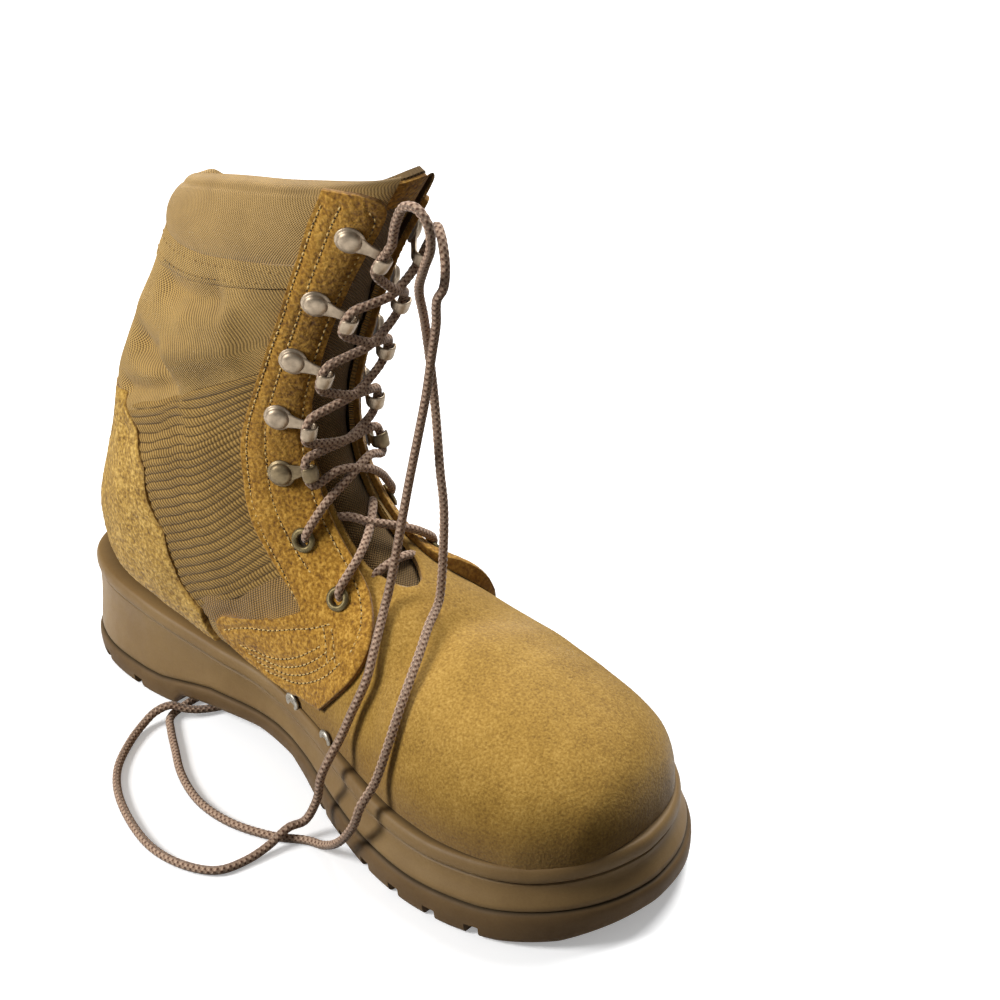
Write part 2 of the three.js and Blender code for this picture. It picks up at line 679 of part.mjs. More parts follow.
function hookCrossings() {
  return fromSolid(solid(routeTube(zigzag(-1))).add(solid(routeTube(zigzag(1)))));
}

/** Between the two pairs of eyelets: over one eyestay, through the throat, under the other. */
function eyeletCrossings() {
  const route = [[7.35, 29, 4.9], [7.5, 20, 5], [7.75, 9, 2.4], [8.0, -1, 0.4], [8.3, -12, -0.8]];
  const points = (sign) => route.map(([u, v, distance]) => offsetPoint(u, sign * v, distance));
  const side = (sign) => solid(routeTube(points(sign)));
  return fromSolid(side(-1).add(side(1)));
}

function lowestBar() {
  const points = [-12, -6, 0, 6, 12].map((v) => offsetPoint(7.15, v, -0.6));
  return closed(routeTube(points));
}

// Free ends of the lace: x, y, z of the centre line, from the top hooks down over the vamp, round
// on the floor and in under the arch.
const END_A = [
  [193.4, 15.6, 230.2], [199, 12.2, 232.6], [204.2, 8.9, 229.2], [206.6, 7.3, 221.6], [205.6, 6.9, 213.8],
  [202.5, 6.6, 208.8], [199.5, 8.5, 197.9], [196.5, 8.1, 183.5], [194.5, 6.7, 169.5], [193, 3.7, 155.2],
  [190.5, -0.3, 135.1], [189.4, -12.5, 93.5], [189.8, -15.3, 88.2], [196.3, -28, 77.1],
  [199.3, -35.5, 68.6], [198, -42.6, 57], [195.6, -47.5, 46], [193.5, -52.8, 37], [191.5, -55, 30],
  [188, -55.5, 17], [184.5, -59.5, 7.5], [182.3, -66, 6.8], [181.5, -76, 3.4], [180.5, -86, 2.1],
  [177, -97, 2.1], [165, -104, 2.1], [146, -106, 2.1], [115, -97, 2.1], [98, -86, 2.1], [87, -72, 2.1],
  [81.5, -60, 3.2], [81.5, -53.5, 5.8], [84.2, -47.5, 7.3], [88.5, -42.5, 4.9], [92, -37, 3.4],
  [97, -24, 2.1], [99, -6, 2.1],
];
const END_B = [
  [194.3, -4.8, 233.8], [197.6, -5.7, 240.6], [202.2, -6.4, 246.4], [208.2, -6.4, 247.4],
  [212.6, -5.8, 243], [212.4, -4.6, 234.6], [206, -2.2, 224.2], [197.5, 3, 212.4], [193.5, 8.5, 198.8],
  [189.5, 14.2, 179.1], [190, 14.9, 165], [193, 12.8, 152.4], [197, 9.6, 138.5], [200.5, 7.3, 122.9],
  [203.5, 0.5, 91], [204.5, -2, 87.9], [208.3, -10.5, 84.9], [214.4, -22.3, 79.5], [221, -39, 67.8],
  [223, -48.6, 55.2], [222, -54.5, 43], [219.5, -60, 34], [217, -62, 25], [208, -62.5, 12], [198, -62, 4.5],
  [189, -62.6, 2.1], [177, -70, 2.1], [158, -76, 2.1], [139, -76, 2.1], [120, -70, 2.1], [104, -61, 2.1],
  [93, -54.5, 2.1], [85, -48.5, 2.1], [82.5, -38, 2.1], [82.5, -22, 2.1], [83, -6, 2.1],
];
const FREE_END_STEP = 9;
const AGLET_LENGTH = 20;
const AGLET_RADIUS = 1.8;

const route = (rows) => rows.map(([x, y, z]) => new THREE.Vector3(x, y, z));

/** The free end leaves the top hook where the crossings stop. */
function freeEnd(side, rows) {
  const [below, above] = throughHook(side, HOOK_ROWS[0]);
  const along = above.clone().sub(below).normalize();
  const start = [GAP, 4].map((distance) => above.clone().addScaledVector(along, distance));
  const path = new THREE.CatmullRomCurve3([...start, ...route(rows)], false, 'centripetal');
  return closed(tube(path, Math.round(path.getLength() / FREE_END_STEP)));
}

function aglet(rows) {
  const [before, end] = route(rows.slice(-2));
  const along = end.clone().sub(before).normalize();
  const far = end.clone().addScaledVector(along, AGLET_LENGTH);
  return closed(tube(new THREE.LineCurve3(end.clone().addScaledVector(along, GAP), far), 1, AGLET_RADIUS));
}

// ---------------------------------------------------------------- assembly
const boot = new THREE.Group();

const FINISH = {
  suede: { color: 0xa68143, roughness: 0.95, metalness: 0 },
  nylon: { color: 0xa88350, roughness: 0.85, metalness: 0 },
  sole: { color: 0x7d6448, roughness: 0.7, metalness: 0 },
  foam: { color: 0x8d7a58, roughness: 0.95, metalness: 0 },
  metal: { color: 0xa89a8a, roughness: 0.35, metalness: 1 },
  lace: { color: 0x97785e, roughness: 0.8, metalness: 0 },
};

function addPiece(name, geometry, finish) {
  const piece = new THREE.Mesh(geometry, new THREE.MeshStandardMaterial(FINISH[finish]));
  piece.name = name;
  boot.add(piece);
}

addPiece('outsole', outsoleGeometry(), 'sole');
addPiece('midsole', fromSolid(midsoleBody()), 'sole');
addPiece('insole', insoleGeometry(), 'foam');
addPiece('vamp', shellGeometry(rowsUpTo(0, SHAFT_START)), 'suede');
addPiece('shaft_lower', shellGeometry(rowsUpTo(SHAFT_START, SHAFT_MIDDLE)), 'nylon');
addPiece('shaft_upper', shellGeometry(upperRows().filter((row) => row >= SHAFT_MIDDLE)), 'nylon');
addPiece('collar_pad', collarPadGeometry(), 'foam');
addPiece('tongue', tongueGeometry(), 'nylon');
addPiece('heel_counter', counterGeometry(), 'suede');

const HOOK = fromSolid(hookSolid());
for (const [label, side] of [['medial', -1], ['lateral', 1]]) {
  addPiece(`quarter_${label}`, quarterGeometry(side), 'suede');
  HOOK_ROWS.forEach((row, i) => {
    addPiece(`hook_${label}_${i + 1}`, placed(HOOK, hookFrame(side, row)), 'metal');
  });
  EYELETS.forEach(([u, v], i) => {
    const frame = surfaceFrame(u, side * v, OVERLAY_OUTER + GAP);
    addPiece(`eyelet_${label}_${i + 1}`, eyeletGeometry(frame), 'metal');
  });
}
VENTS.forEach((vent, i) => addPiece(`vent_${i + 1}`, ventGeometry(vent), 'metal'));
addPiece('lace_cross_hooks', hookCrossings(), 'lace');
addPiece('lace_cross_eyelets', eyeletCrossings(), 'lace');
addPiece('lace_bar', lowestBar(), 'lace');

// The origin is on the floor, in the middle of the boot's length and width, the free ends left out.
const middle = new THREE.Box3().setFromObject(boot).getCenter(new THREE.Vector3());
boot.position.set(-middle.x, -middle.y, 0);

addPiece('lace_end_a', freeEnd(1, END_A), 'lace');
addPiece('lace_end_b', freeEnd(-1, END_B), 'lace');
addPiece('aglet_a', aglet(END_A), 'lace');
addPiece('aglet_b', aglet(END_B), 'lace');

export default boot;
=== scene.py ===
"""A worn-looking tan combat boot, left foot: suede vamp, counter and eyestays over a nylon shaft,
on a moulded rubber sole. Sizes are in millimetres from the back of the heel and the floor, +x to
the toe and -y to the medial side, and are turned to the frame's metres when a mesh is made."""

import math

import bpy
import numpy as np
from mathutils import Matrix, Vector
from mathutils.bvhtree import BVHTree


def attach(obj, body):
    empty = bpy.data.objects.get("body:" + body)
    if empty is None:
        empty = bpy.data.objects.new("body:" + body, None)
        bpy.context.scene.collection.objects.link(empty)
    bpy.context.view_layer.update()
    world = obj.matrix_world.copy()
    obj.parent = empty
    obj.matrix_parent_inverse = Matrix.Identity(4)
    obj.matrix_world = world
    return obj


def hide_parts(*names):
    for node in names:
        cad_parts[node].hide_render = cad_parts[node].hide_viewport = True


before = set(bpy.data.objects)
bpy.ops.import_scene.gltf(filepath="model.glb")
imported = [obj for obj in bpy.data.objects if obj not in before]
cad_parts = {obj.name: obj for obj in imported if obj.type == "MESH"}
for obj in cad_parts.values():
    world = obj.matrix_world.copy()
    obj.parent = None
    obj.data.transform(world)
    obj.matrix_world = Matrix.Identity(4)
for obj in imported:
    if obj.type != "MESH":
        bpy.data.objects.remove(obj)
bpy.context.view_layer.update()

# ---------------------------------------------------------------- driving sizes
MM = 0.001
LENGTH = 312.0  # sole
BALL_WIDTH = 104.0
BOOT_HEIGHT = 256.0
MIDDLE = np.array([156.52, -0.28, 0.0])  # where the frame's origin is, in the boot's own sizes
LACE_RADIUS = 1.9
OVERLAY = 2.4  # outer face of the suede overlays above the form
OVERLAY_UNDER = 0.3  # and their inner face
WALL = 2.5
SIDES = ((-1, "medial"), (1, "lateral"))
rng = np.random.default_rng(7)


def lerp(a, b, t):
    return a + (b - a) * t


def smoothstep(a, b, x):
    t = np.clip((np.asarray(x, float) - a) / (b - a), 0, 1)
    return t * t * (3 - 2 * t)


def table(rows, x):
    """The value between the rows of a table of pairs."""
    rows = np.asarray(rows, float)
    return np.interp(x, rows[:, 0], rows[:, 1])


def extended(rows):
    """The same rows with one more at each end."""
    return np.vstack([2 * rows[0] - rows[1], rows, 2 * rows[-1] - rows[-2]])


def through_rows(rows, at):
    """Catmull-Rom through extended rows; at counts rows from the first of the unextended ones."""
    i = np.clip(np.floor(at), 0, len(rows) - 4).astype(int)
    t = (at - i)[..., None]
    a, b, c, d = (rows[i + k] for k in range(4))
    return 0.5 * (2 * b + (c - a) * t + (2 * a - 5 * b + 4 * c - d) * t**2 + (3 * b - a - 3 * c + d) * t**3)


def lengths_along(path):
    """Distance of each point of a path from its start."""
    return np.concatenate([[0], np.cumsum(np.linalg.norm(np.diff(path, axis=0), axis=1))])


def grid(a, b):
    return np.meshgrid(a, b, indexing="ij")


def circle(count):
    return np.linspace(0, 2 * math.pi, count, endpoint=False)


def round_axes(angle, x, y):
    """Points of a unit circle between two directions."""
    return np.cos(angle)[:, None] * x + np.sin(angle)[:, None] * y


def add_object(name, data):
    item = bpy.data.objects.new(name, data)
    bpy.context.scene.collection.objects.link(item)
    return item


# ---------------------------------------------------------------- camera
CAMERA_AT = np.array([634.8, -406.0, 469.8])
AZIMUTH, ELEVATION, ROLL = (math.radians(a) for a in (45.68, 31.64, 2.2))
FOCAL = 1.86384  # in picture widths
SHIFT = (0.0332, 0.0626)


def make_camera():
    back = Vector((math.sin(AZIMUTH) * math.cos(ELEVATION), -math.cos(AZIMUTH) * math.cos(ELEVATION),
                   math.sin(ELEVATION)))
    right = (-back).cross(Vector((0, 0, 1))).normalized()
    down = (-back).cross(right)
    turned_right = right * math.cos(ROLL) + down * math.sin(ROLL)
    turned_down = down * math.cos(ROLL) - right * math.sin(ROLL)
    data = bpy.data.cameras.new("camera")
    data.sensor_width = 36.0
    data.lens = FOCAL * data.sensor_width
    data.shift_x, data.shift_y = SHIFT
    data.clip_start, data.clip_end = 0.01, 50.0
    camera = add_object("camera", data)
    turn = Matrix((turned_right, -turned_down, back)).transposed().to_4x4()
    camera.matrix_world = Matrix.Translation(Vector((CAMERA_AT - MIDDLE) * MM)) @ turn
    bpy.context.scene.camera = camera


make_camera()


# ---------------------------------------------------------------- meshes
def make_mesh(name, points, faces, material, replaces=(), uv=None, sharp=40, attributes=None):
    """points in the boot's millimetres; uv in millimetres along and across the piece."""
    mesh = bpy.data.meshes.new(name)
    mesh.from_pydata((np.asarray(points) - MIDDLE) * MM, [], [list(map(int, face)) for face in faces])
    mesh.polygons.foreach_set("use_smooth", np.ones(len(mesh.polygons), bool))
    if uv is not None:
        loops = np.empty(len(mesh.loops), np.int32)
        mesh.loops.foreach_get("vertex_index", loops)
        layer = mesh.uv_layers.new(name="UVMap")
        layer.data.foreach_set("uv", np.asarray(uv, np.float32)[loops].ravel())
    for key, values in (attributes or {}).items():
        layer = mesh.attributes.new(key, "FLOAT", "POINT")
        layer.data.foreach_set("value", np.asarray(values, np.float32).ravel())
    mesh.validate()
    mesh.set_sharp_from_angle(angle=math.radians(sharp))
    mesh.materials.append(material)
    piece = add_object(name, mesh)
    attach(piece, "root")
    if replaces:
        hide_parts(*replaces)
    return piece


def grid_faces(rows, columns, start=0, wrap=False, flip=False):
    i, j = np.meshgrid(np.arange(rows - 1), np.arange(columns if wrap else columns - 1), indexing="ij")
    a = start + i * columns + j
    b = start + (i + 1) * columns + j
    c = start + (i + 1) * columns + (j + 1) % columns
    d = start + i * columns + (j + 1) % columns
    quads = np.stack([a, b, c, d], -1).reshape(-1, 4)
    return quads[:, ::-1] if flip else quads


def arc_lengths(points):
    """Distances along and across a grid of points, the second from its middle column."""
    along = np.linalg.norm(np.diff(points, axis=0), axis=2).mean(1)
    along = np.concatenate([[0], np.cumsum(along)])
    across = np.linalg.norm(np.diff(points, axis=1), axis=2)
    across = np.concatenate([np.zeros((len(points), 1)), np.cumsum(across, 1)], 1)
    across = across - across[:, across.shape[1] // 2][:, None]
    return np.stack([np.broadcast_to(along[:, None], across.shape), across], -1)


def sheet_mesh(name, outer, inner, material, replaces=(), sharp=40, attributes=None):
    """A closed sheet between two grids of points of one shape."""
    rows, columns = outer.shape[:2]
    size = rows * columns
    index = np.arange(size).reshape(rows, columns)
    border = np.concatenate([index[0, :-1], index[:-1, -1], index[-1, :0:-1], index[:0:-1, 0]])
    after = np.roll(border, -1)
    faces = np.concatenate([
        grid_faces(rows, columns),
        grid_faces(rows, columns, size, flip=True),
        np.stack([border, after, after + size, border + size], -1),
    ])
    points = np.concatenate([outer.reshape(-1, 3), inner.reshape(-1, 3)])
    if signed_volume(points, faces) < 0:
        faces = faces[:, ::-1]
    uv = np.tile(arc_lengths(outer).reshape(-1, 2), (2, 1))
    both = {key: np.tile(np.ravel(values), 2) for key, values in (attributes or {}).items()}
    return make_mesh(name, points, faces, material, replaces, uv, sharp, both)


def signed_volume(points, faces):
    a, b, c, d = (points[faces[:, k]] for k in range(4))
    spoke = a - points.mean(0)
    return float((np.cross(b - a, c - a) * spoke).sum() + (np.cross(c - a, d - a) * spoke).sum())


def combined(parts):
    """Several (points, faces) as one."""
    points, faces, start = [], [], 0
    for part_points, part_faces in parts:
        points.append(part_points)
        faces.append(np.asarray(part_faces) + start)
        start += len(part_points)
    return np.concatenate(points), np.concatenate(faces)


# ---------------------------------------------------------------- form of the upper
# Sections fan round from upright at the toe to nearly level in the shaft, in percent of LENGTH,
# BOOT_HEIGHT and BALL_WIDTH; the last three columns are where, from front to back, a section is
# widest, and the powers of its front and back halves.
SECTIONS = np.array([
    # frontX frontZ backX backZ centreY medial lateral widest frontPower backPower
    [98.4, 16.0, 98.4, 16.0, -7.7, 0.0, 0.0, 0.50, 2.0, 2.0],
    [97.4, 20.7, 97.8, 11.3, -6.7, 16.3, 17.3, 0.58, 2.1, 2.2],
    [94.9, 24.2, 95.2, 8.6, -4.3, 29.8, 30.8, 0.64, 2.2, 2.6],
    [89.7, 27.1, 90.4, 7.4, -2.9, 41.8, 42.8, 0.68, 2.2, 3.0],
    [81.4, 29.7, 82.1, 7.0, -1.9, 48.1, 48.1, 0.70, 2.1, 3.4],
    [72.4, 31.2, 71.8, 7.0, 0.0, 48.6, 50.0, 0.72, 2.0, 3.6],
    [65.1, 33.2, 60.9, 7.4, 1.0, 42.3, 47.1, 0.74, 2.0, 3.6],
    [58.0, 36.7, 48.1, 8.2, 1.0, 33.7, 41.3, 0.74, 2.0, 3.4],
    [52.9, 42.0, 34.6, 10.2, 1.0, 30.3, 35.6, 0.72, 2.0, 3.2],
    [49.7, 48.8, 21.2, 12.1, 1.0, 31.7, 33.7, 0.68, 2.0, 3.0],
    [48.4, 55.9, 8.0, 14.1, 1.0, 32.7, 32.7, 0.62, 2.1, 2.8],
    [49.0, 62.5, 1.9, 22.7, 1.0, 31.7, 31.7, 0.60, 2.2, 2.4],
    [50.6, 69.5, 4.2, 35.9, 1.9, 29.8, 30.0, 0.56, 2.3, 2.3],
    [52.9, 76.6, 7.7, 48.8, 3.5, 28.5, 27.5, 0.54, 2.3, 2.3],
    [55.8, 83.6, 12.2, 61.3, 4.6, 26.7, 25.0, 0.52, 2.3, 2.3],
    [59.0, 90.2, 17.0, 74.2, 6.7, 24.9, 22.3, 0.50, 2.3, 2.3],
    [62.8, 96.9, 22.1, 85.9, 8.7, 24.1, 19.8, 0.50, 2.3, 2.3],
    [66.3, 103.1, 26.9, 97.7, 10.8, 23.3, 17.6, 0.50, 2.3, 2.3],
    [69.9, 109.4, 32.1, 109.4, 12.9, 22.5, 15.5, 0.50, 2.3, 2.3],
])
SCALES = np.array([LENGTH, BOOT_HEIGHT, LENGTH, BOOT_HEIGHT] + [BALL_WIDTH] * 3 + [100.0] * 3) / 100
FORM = SECTIONS * SCALES
LAST_ROW = len(FORM) - 1


def before_toe():
    """The row before the first: the second one mirrored, so that the toe closes round."""
    row = FORM[1].copy()
    row[1] = 2 * FORM[0, 1] - row[1]
    row[3] = 2 * FORM[0, 3] - row[3]
    row[5:7] = -row[5:7]
    return row


ALL_ROWS = np.vstack([before_toe(), extended(FORM)[1:]])
COLLAR_SAG = 0.8  # rows that the soft collar has sunk on the lateral side


def sag(u, v):
    """How far the form has sunk at u, v, in rows."""
    return COLLAR_SAG * smoothstep(12.5, 16.5, u) * smoothstep(0, 60, v) * (1 - smoothstep(110, 180, v))


def form_point(u, v):
    """u in rows from the toe to the collar, v in degrees round from the front, medial negative."""
    u, v = np.broadcast_arrays(np.asarray(u, float), np.asarray(v, float))
    along, across = np.cos(np.radians(v)), np.sin(np.radians(v))
    front_x, front_z, back_x, back_z, centre, medial, lateral, widest, front_power, back_power = np.moveaxis(
        through_rows(ALL_ROWS, u - sag(u, v)), -1, 0)
    power = np.where(along >= 0, front_power, back_power)
    reach = np.where(along >= 0, -widest, 1 - widest)
    t = widest + reach * np.abs(along) ** (2 / power)
    half = np.where(across < 0, medial, lateral)
    y = centre + np.sign(across) * np.abs(across) ** (2 / power) * half
    return np.stack([lerp(front_x, back_x, t), y, lerp(front_z, back_z, t)], -1)


def form_normal(u, v):
    u, v = np.broadcast_arrays(np.asarray(u, float), np.asarray(v, float))
    along_u = form_point(np.minimum(u + 0.02, LAST_ROW), v) - form_point(u - 0.02, v)
    along_v = form_point(u, v + 1.5) - form_point(u, v - 1.5)
    normal = np.cross(along_v, along_u)
    normal /= np.linalg.norm(normal, axis=-1, keepdims=True) + 1e-9
    normal[u < 0.06] = (1, 0, 0)
    return normal


def distance_to_line(points, line):
    """Distance of each point to a polyline."""
    shape = points.shape[:-1]
    flat = points.reshape(-1, 3)
    best = np.full(len(flat), 1e9)
    for a, b in zip(line[:-1], line[1:]):
        along = b - a
        t = np.clip(((flat - a) @ along) / max(along @ along, 1e-9), 0, 1)
        best = np.minimum(best, np.linalg.norm(flat - a - t[:, None] * along, axis=1))
    return best.reshape(shape)


# Creases and swellings of the shaft and vamp: from and to (row, degrees), half width, height.
CREASES = [
    ((14.6, -118), (14.2, -86), 6.5, -4.8),
    ((13.7, -126), (13.3, -103), 7.5, -7.5),
    ((12.95, -126), (12.72, -90), 4.5, -4.4),
    ((13.35, -97), (13.05, -68), 6.5, 3.6),
    ((14.0, -94), (13.75, -76), 8, 2.2),
    ((14.1, -140), (13.3, -150), 12, 2.0),
    ((12.15, -112), (12.0, -84), 6, -1.5),
    ((12.1, -76), (11.5, -58), 8, -0.9),
    ((11.4, -88), (11.2, -62), 8, 0.9),
    ((14.0, 95), (13.2, 130), 11, -3.0),
    ((12.3, 75), (12.0, 125), 8, -2.2),
    ((13.2, 70), (12.9, 92), 9, 1.8),
    ((5.6, -30), (5.5, 30), 9, -1.2),
    ((4.9, -44), (4.8, 40), 8, 0.8),
    ((5.9, -52), (5.5, -80), 8, -1.4),
]
CREASE_LINES = []
for (u0, v0), (u1, v1), width, height in CREASES:
    steps = np.linspace(0, 1, 7)
    CREASE_LINES.append((form_point(lerp(u0, u1, steps), lerp(v0, v1, steps)), width, height))


def relief(points):
    """Height of the soft creases at points of the form."""
    total = np.zeros(points.shape[:-1])
    for line, width, height in CREASE_LINES:
        total += height * np.exp(-(distance_to_line(points, line) / width) ** 2)
    return total


def offset_point(u, v, distance):
    """A point at a distance above the smooth form."""
    return form_point(u, v) + form_normal(u, v) * distance


def on_boot(u, v, distance):
    """Points at a distance above the form with its creases."""
    point = form_point(u, v)
    return point + form_normal(u, v) * (np.asarray(distance) + relief(point))[..., None]


def noise(points, size, seed=0):
    """Smooth noise from -1 to 1 out of a few sine waves, features about size millimetres."""
    waves = np.random.default_rng(seed)
    total = np.zeros(points.shape[:-1])
    for _ in range(9):
        direction = waves.normal(size=3)
        direction *= (2 * math.pi / size) * waves.uniform(0.6, 1.4) / np.linalg.norm(direction)
        total += np.sin(points @ direction + waves.uniform(0, 6.28))
    return total / 4


def layers(base, normal, high, low):
    """Two grids of points, at heights above the same base."""
    return base + normal * high[..., None], base + normal * low[..., None]


def signed(v):
    """Degrees round from the front, medial negative, from ones that count all the way round."""
    return np.where(v > 180, v - 360, v)


def eased(count, edge):
    """From 0 to 1, with one extra step at each end for a rounded edge."""
    return np.concatenate([[0], np.linspace(edge, 1 - edge, count), [1]])


def panel(name, place, counts, inner, outer, material, replaces=(), edge=(0.004, 0.01), rounding=0.5,
          shape=None, rough=0.0, seed=0):
    """A sheet over the form between two heights, with a rounded edge.

    place(a, b) gives rows and degrees; outer may be a function of the row and of b; shape adds
    height from the points; rough is the height of the grain."""
    a, b = grid(eased(counts[0], edge[0]), eased(counts[1], edge[1]))
    u, v = place(a, b)
    base = form_point(u, v)
    height = np.full(u.shape, float(outer)) if np.isscalar(outer) else outer(u, b)
    if shape is not None:
        height = height + shape(base, u, v)
    if rough:
        height = height + rough * noise(base, 2.6, seed) + rough * 0.8 * noise(base, 9, seed + 1)
    on_edge = np.zeros(u.shape, bool)
    on_edge[[0, -1], :] = True
    on_edge[:, [0, -1]] = True
    height = height - rounding * on_edge
    crease = relief(base)
    outside, inside = layers(base, form_normal(u, v), height + crease, inner + crease)
    return sheet_mesh(name, outside, inside, material, replaces, 50, {"raw_edge_and_shade": on_edge.astype(float)})


# ---------------------------------------------------------------- materials
def srgb(red, green, blue):
    """A colour from 0-255 display values to a linear one."""
    def channel(c):
        c = c / 255
        return c / 12.92 if c <= 0.04045 else ((c + 0.055) / 1.055) ** 2.4
    return (channel(red), channel(green), channel(blue), 1.0)


WHITE, BLACK = (1, 1, 1, 1), (0, 0, 0, 1)


class Nodes:
    """Short calls for building one material or world."""

    def __init__(self, name, owners=bpy.data.materials, shader="Principled BSDF"):
        self.owner = owners.new(name)
        self.owner.use_nodes = True
        self.tree = self.owner.node_tree
        self.shader = self.tree.nodes[shader]

    def add(self, kind, **values):
        node = self.tree.nodes.new(kind)
        for key, value in values.items():
            setattr(node, key, value)
        return node

    def put(self, socket, value):
        if isinstance(value, bpy.types.NodeSocket):
            self.tree.links.new(value, socket)
        else:
            socket.default_value = value

    def math(self, operation, a, b=0.0):
        node = self.add("ShaderNodeMath", operation=operation)
        self.put(node.inputs[0], a)
        self.put(node.inputs[1], b)
        return node.outputs[0]

    def plus(self, a, b):
        return self.math("ADD", a, b)

    def times(self, a, b):
        return self.math("MULTIPLY", a, b)

    def about_zero(self, value, amount):
        """A value from 0 to 1 as one to either side of 0."""
        return self.times(self.math("SUBTRACT", value, 0.5), amount)

    def noise(self, size, detail=3.0, roughness=0.6, seed=0.0):
        """Noise with features of about size millimetres."""
        where = self.add("ShaderNodeTexCoord").outputs["Object"]
        node = self.add("ShaderNodeTexNoise", noise_dimensions="4D")
        self.put(node.inputs["Vector"], where)
        self.put(node.inputs["W"], seed)
        self.put(node.inputs["Scale"], 1 / (size * MM))
        self.put(node.inputs["Detail"], detail)
        self.put(node.inputs["Roughness"], roughness)
        return node.outputs["Fac"]

    def ramp(self, value, stops):
        node = self.add("ShaderNodeValToRGB")
        ramp = node.color_ramp
        while len(ramp.elements) < len(stops):
            ramp.elements.new(0.5)
        for element, (position, colour) in zip(ramp.elements, stops):
            element.position = position
            element.color = colour
        self.put(node.inputs[0], value)
        return node.outputs[0]

    def mix(self, factor, a, b, mode="MIX"):
        node = self.add("ShaderNodeMix", data_type="RGBA", blend_type=mode)
        self.put(node.inputs[0], factor)
        self.put(node.inputs[6], a)
        self.put(node.inputs[7], b)
        return node.outputs[2]

    def along(self, axis):
        """Millimetres along (0) or across (1) the piece."""
        node = self.add("ShaderNodeUVMap", uv_map="UVMap")
        split = self.add("ShaderNodeSeparateXYZ")
        self.put(split.inputs[0], node.outputs[0])
        return split.outputs[axis]

    def attribute(self, name):
        return self.add("ShaderNodeAttribute", attribute_name=name).outputs["Fac"]

    def bump(self, height, distance, strength=1.0, before=None):
        node = self.add("ShaderNodeBump")
        self.put(node.inputs["Strength"], strength)
        self.put(node.inputs["Distance"], distance * MM)
        self.put(node.inputs["Height"], height)
        if before is not None:
            self.put(node.inputs["Normal"], before)
        return node.outputs[0]

    def finish(self, colour, roughness, normal=None, metallic=0.0, sheen=0.0, specular=0.5):
        self.put(self.shader.inputs["Base Color"], colour)
        self.put(self.shader.inputs["Roughness"], roughness)
        self.shader.inputs["Metallic"].default_value = metallic
        self.shader.inputs["Sheen Weight"].default_value = sheen
        self.shader.inputs["Sheen Roughness"].default_value = 0.5
        self.shader.inputs["Specular IOR Level"].default_value = specular
        if normal is not None:
            self.put(self.shader.inputs["Normal"], normal)
        return self.owner


def suede(name, dark, middle, light, nap=1.0, grain=1.0, mottle=0.5):
    """Rough-out leather: short nap, cloudy tone, paler where it is brushed, darker at cut edges and with
    painted shade where the mask carries it.
    """
    n = Nodes(name)
    cloud = n.noise(26, 4, 0.6)
    patch = n.noise(7, 3, 0.65, 3.0)
    clump = n.noise(1.25 * nap, 2, 0.6, 1.0)
    tone = n.plus(n.times(cloud, mottle), n.times(patch, 0.25))
    tone = n.plus(tone, n.times(clump, 1.5 * grain))
    centre = 0.5 * (mottle + 0.25 + 1.5 * grain)
    colour = n.ramp(tone, [(centre - 0.26, srgb(*dark)), (centre, srgb(*middle)),
                           (centre + 0.26, srgb(*light))])
    pits = n.noise(1.7 * nap, 2, 0.5, 5.0)
    pit = n.ramp(pits, [(0.3, (0.5, 0.44, 0.36, 1)), (0.42, WHITE)])
    colour = n.mix(min(0.7 * grain, 1.0), colour, pit, "MULTIPLY")
    # darker at the cut edges, and painted shade low on the vamp towards the sole
    colour = n.mix(n.times(n.attribute("raw_edge_and_shade"), 0.55), colour, srgb(104, 72, 32))
    normal = n.bump(clump, 0.8 * nap, 0.75 * grain)
    normal = n.bump(pits, 0.6 * nap, 0.6 * grain, normal)
    return n.finish(colour, 0.92, normal, sheen=0.25, specular=0.2)


def woven(name, dark, light, pitch, depth=0.35, sheen=0.15, cloudy=0.25):
    """Plain weave cloth: over and under as a checker of small swellings."""
    n = Nodes(name)
    k = 2 * math.pi / pitch
    s, t = n.along(0), n.along(1)
    wobble = n.about_zero(n.noise(12, 2, 0.5), 0.9)
    s = n.plus(s, wobble)
    a = n.math("COSINE", n.times(s, k))
    b = n.math("COSINE", n.times(t, k))
    over = n.times(a, b)
    height = n.plus(n.times(over, 0.5), 0.5)
    cloud = n.about_zero(n.noise(18, 4, 0.6, 2.0), cloudy * 2)
    fleck = n.about_zero(n.noise(0.5, 2, 0.6, 4.0), 0.5)
    tone = n.plus(n.plus(height, cloud), fleck)
    colour = n.ramp(tone, [(0.05, srgb(*dark)), (0.8, srgb(*light))])
    normal = n.bump(height, depth, 0.9)
    return n.finish(colour, 0.85, normal, sheen=sheen, specular=0.25)


def twill(name, dark, light, pitch, skew):
    """Ribbed webbing's yarn: short slanting stitches along each rib."""
    n = Nodes(name)
    s, t = n.along(0), n.along(1)
    slant = n.plus(n.times(s, skew), t)
    yarn = n.math("COSINE", n.times(slant, 2 * math.pi / pitch))
    height = n.plus(n.times(yarn, 0.5), 0.5)
    fleck = n.about_zero(n.noise(0.6, 2, 0.6, 4.0), 0.7)
    cloud = n.about_zero(n.noise(20, 3, 0.6, 2.0), 0.5)
    tone = n.plus(n.plus(n.times(height, 0.7), fleck), cloud)
    groove = n.attribute("groove")
    colour = n.ramp(tone, [(0.0, srgb(*dark)), (0.85, srgb(*light))])
    # painted shade: the grooves between the ribs are darkened towards dark brown
    colour = n.mix(n.times(groove, 0.9), colour, srgb(54, 37, 12))
    return n.finish(colour, 0.88, n.bump(height, 0.3, 0.8), sheen=0.1, specular=0.2)


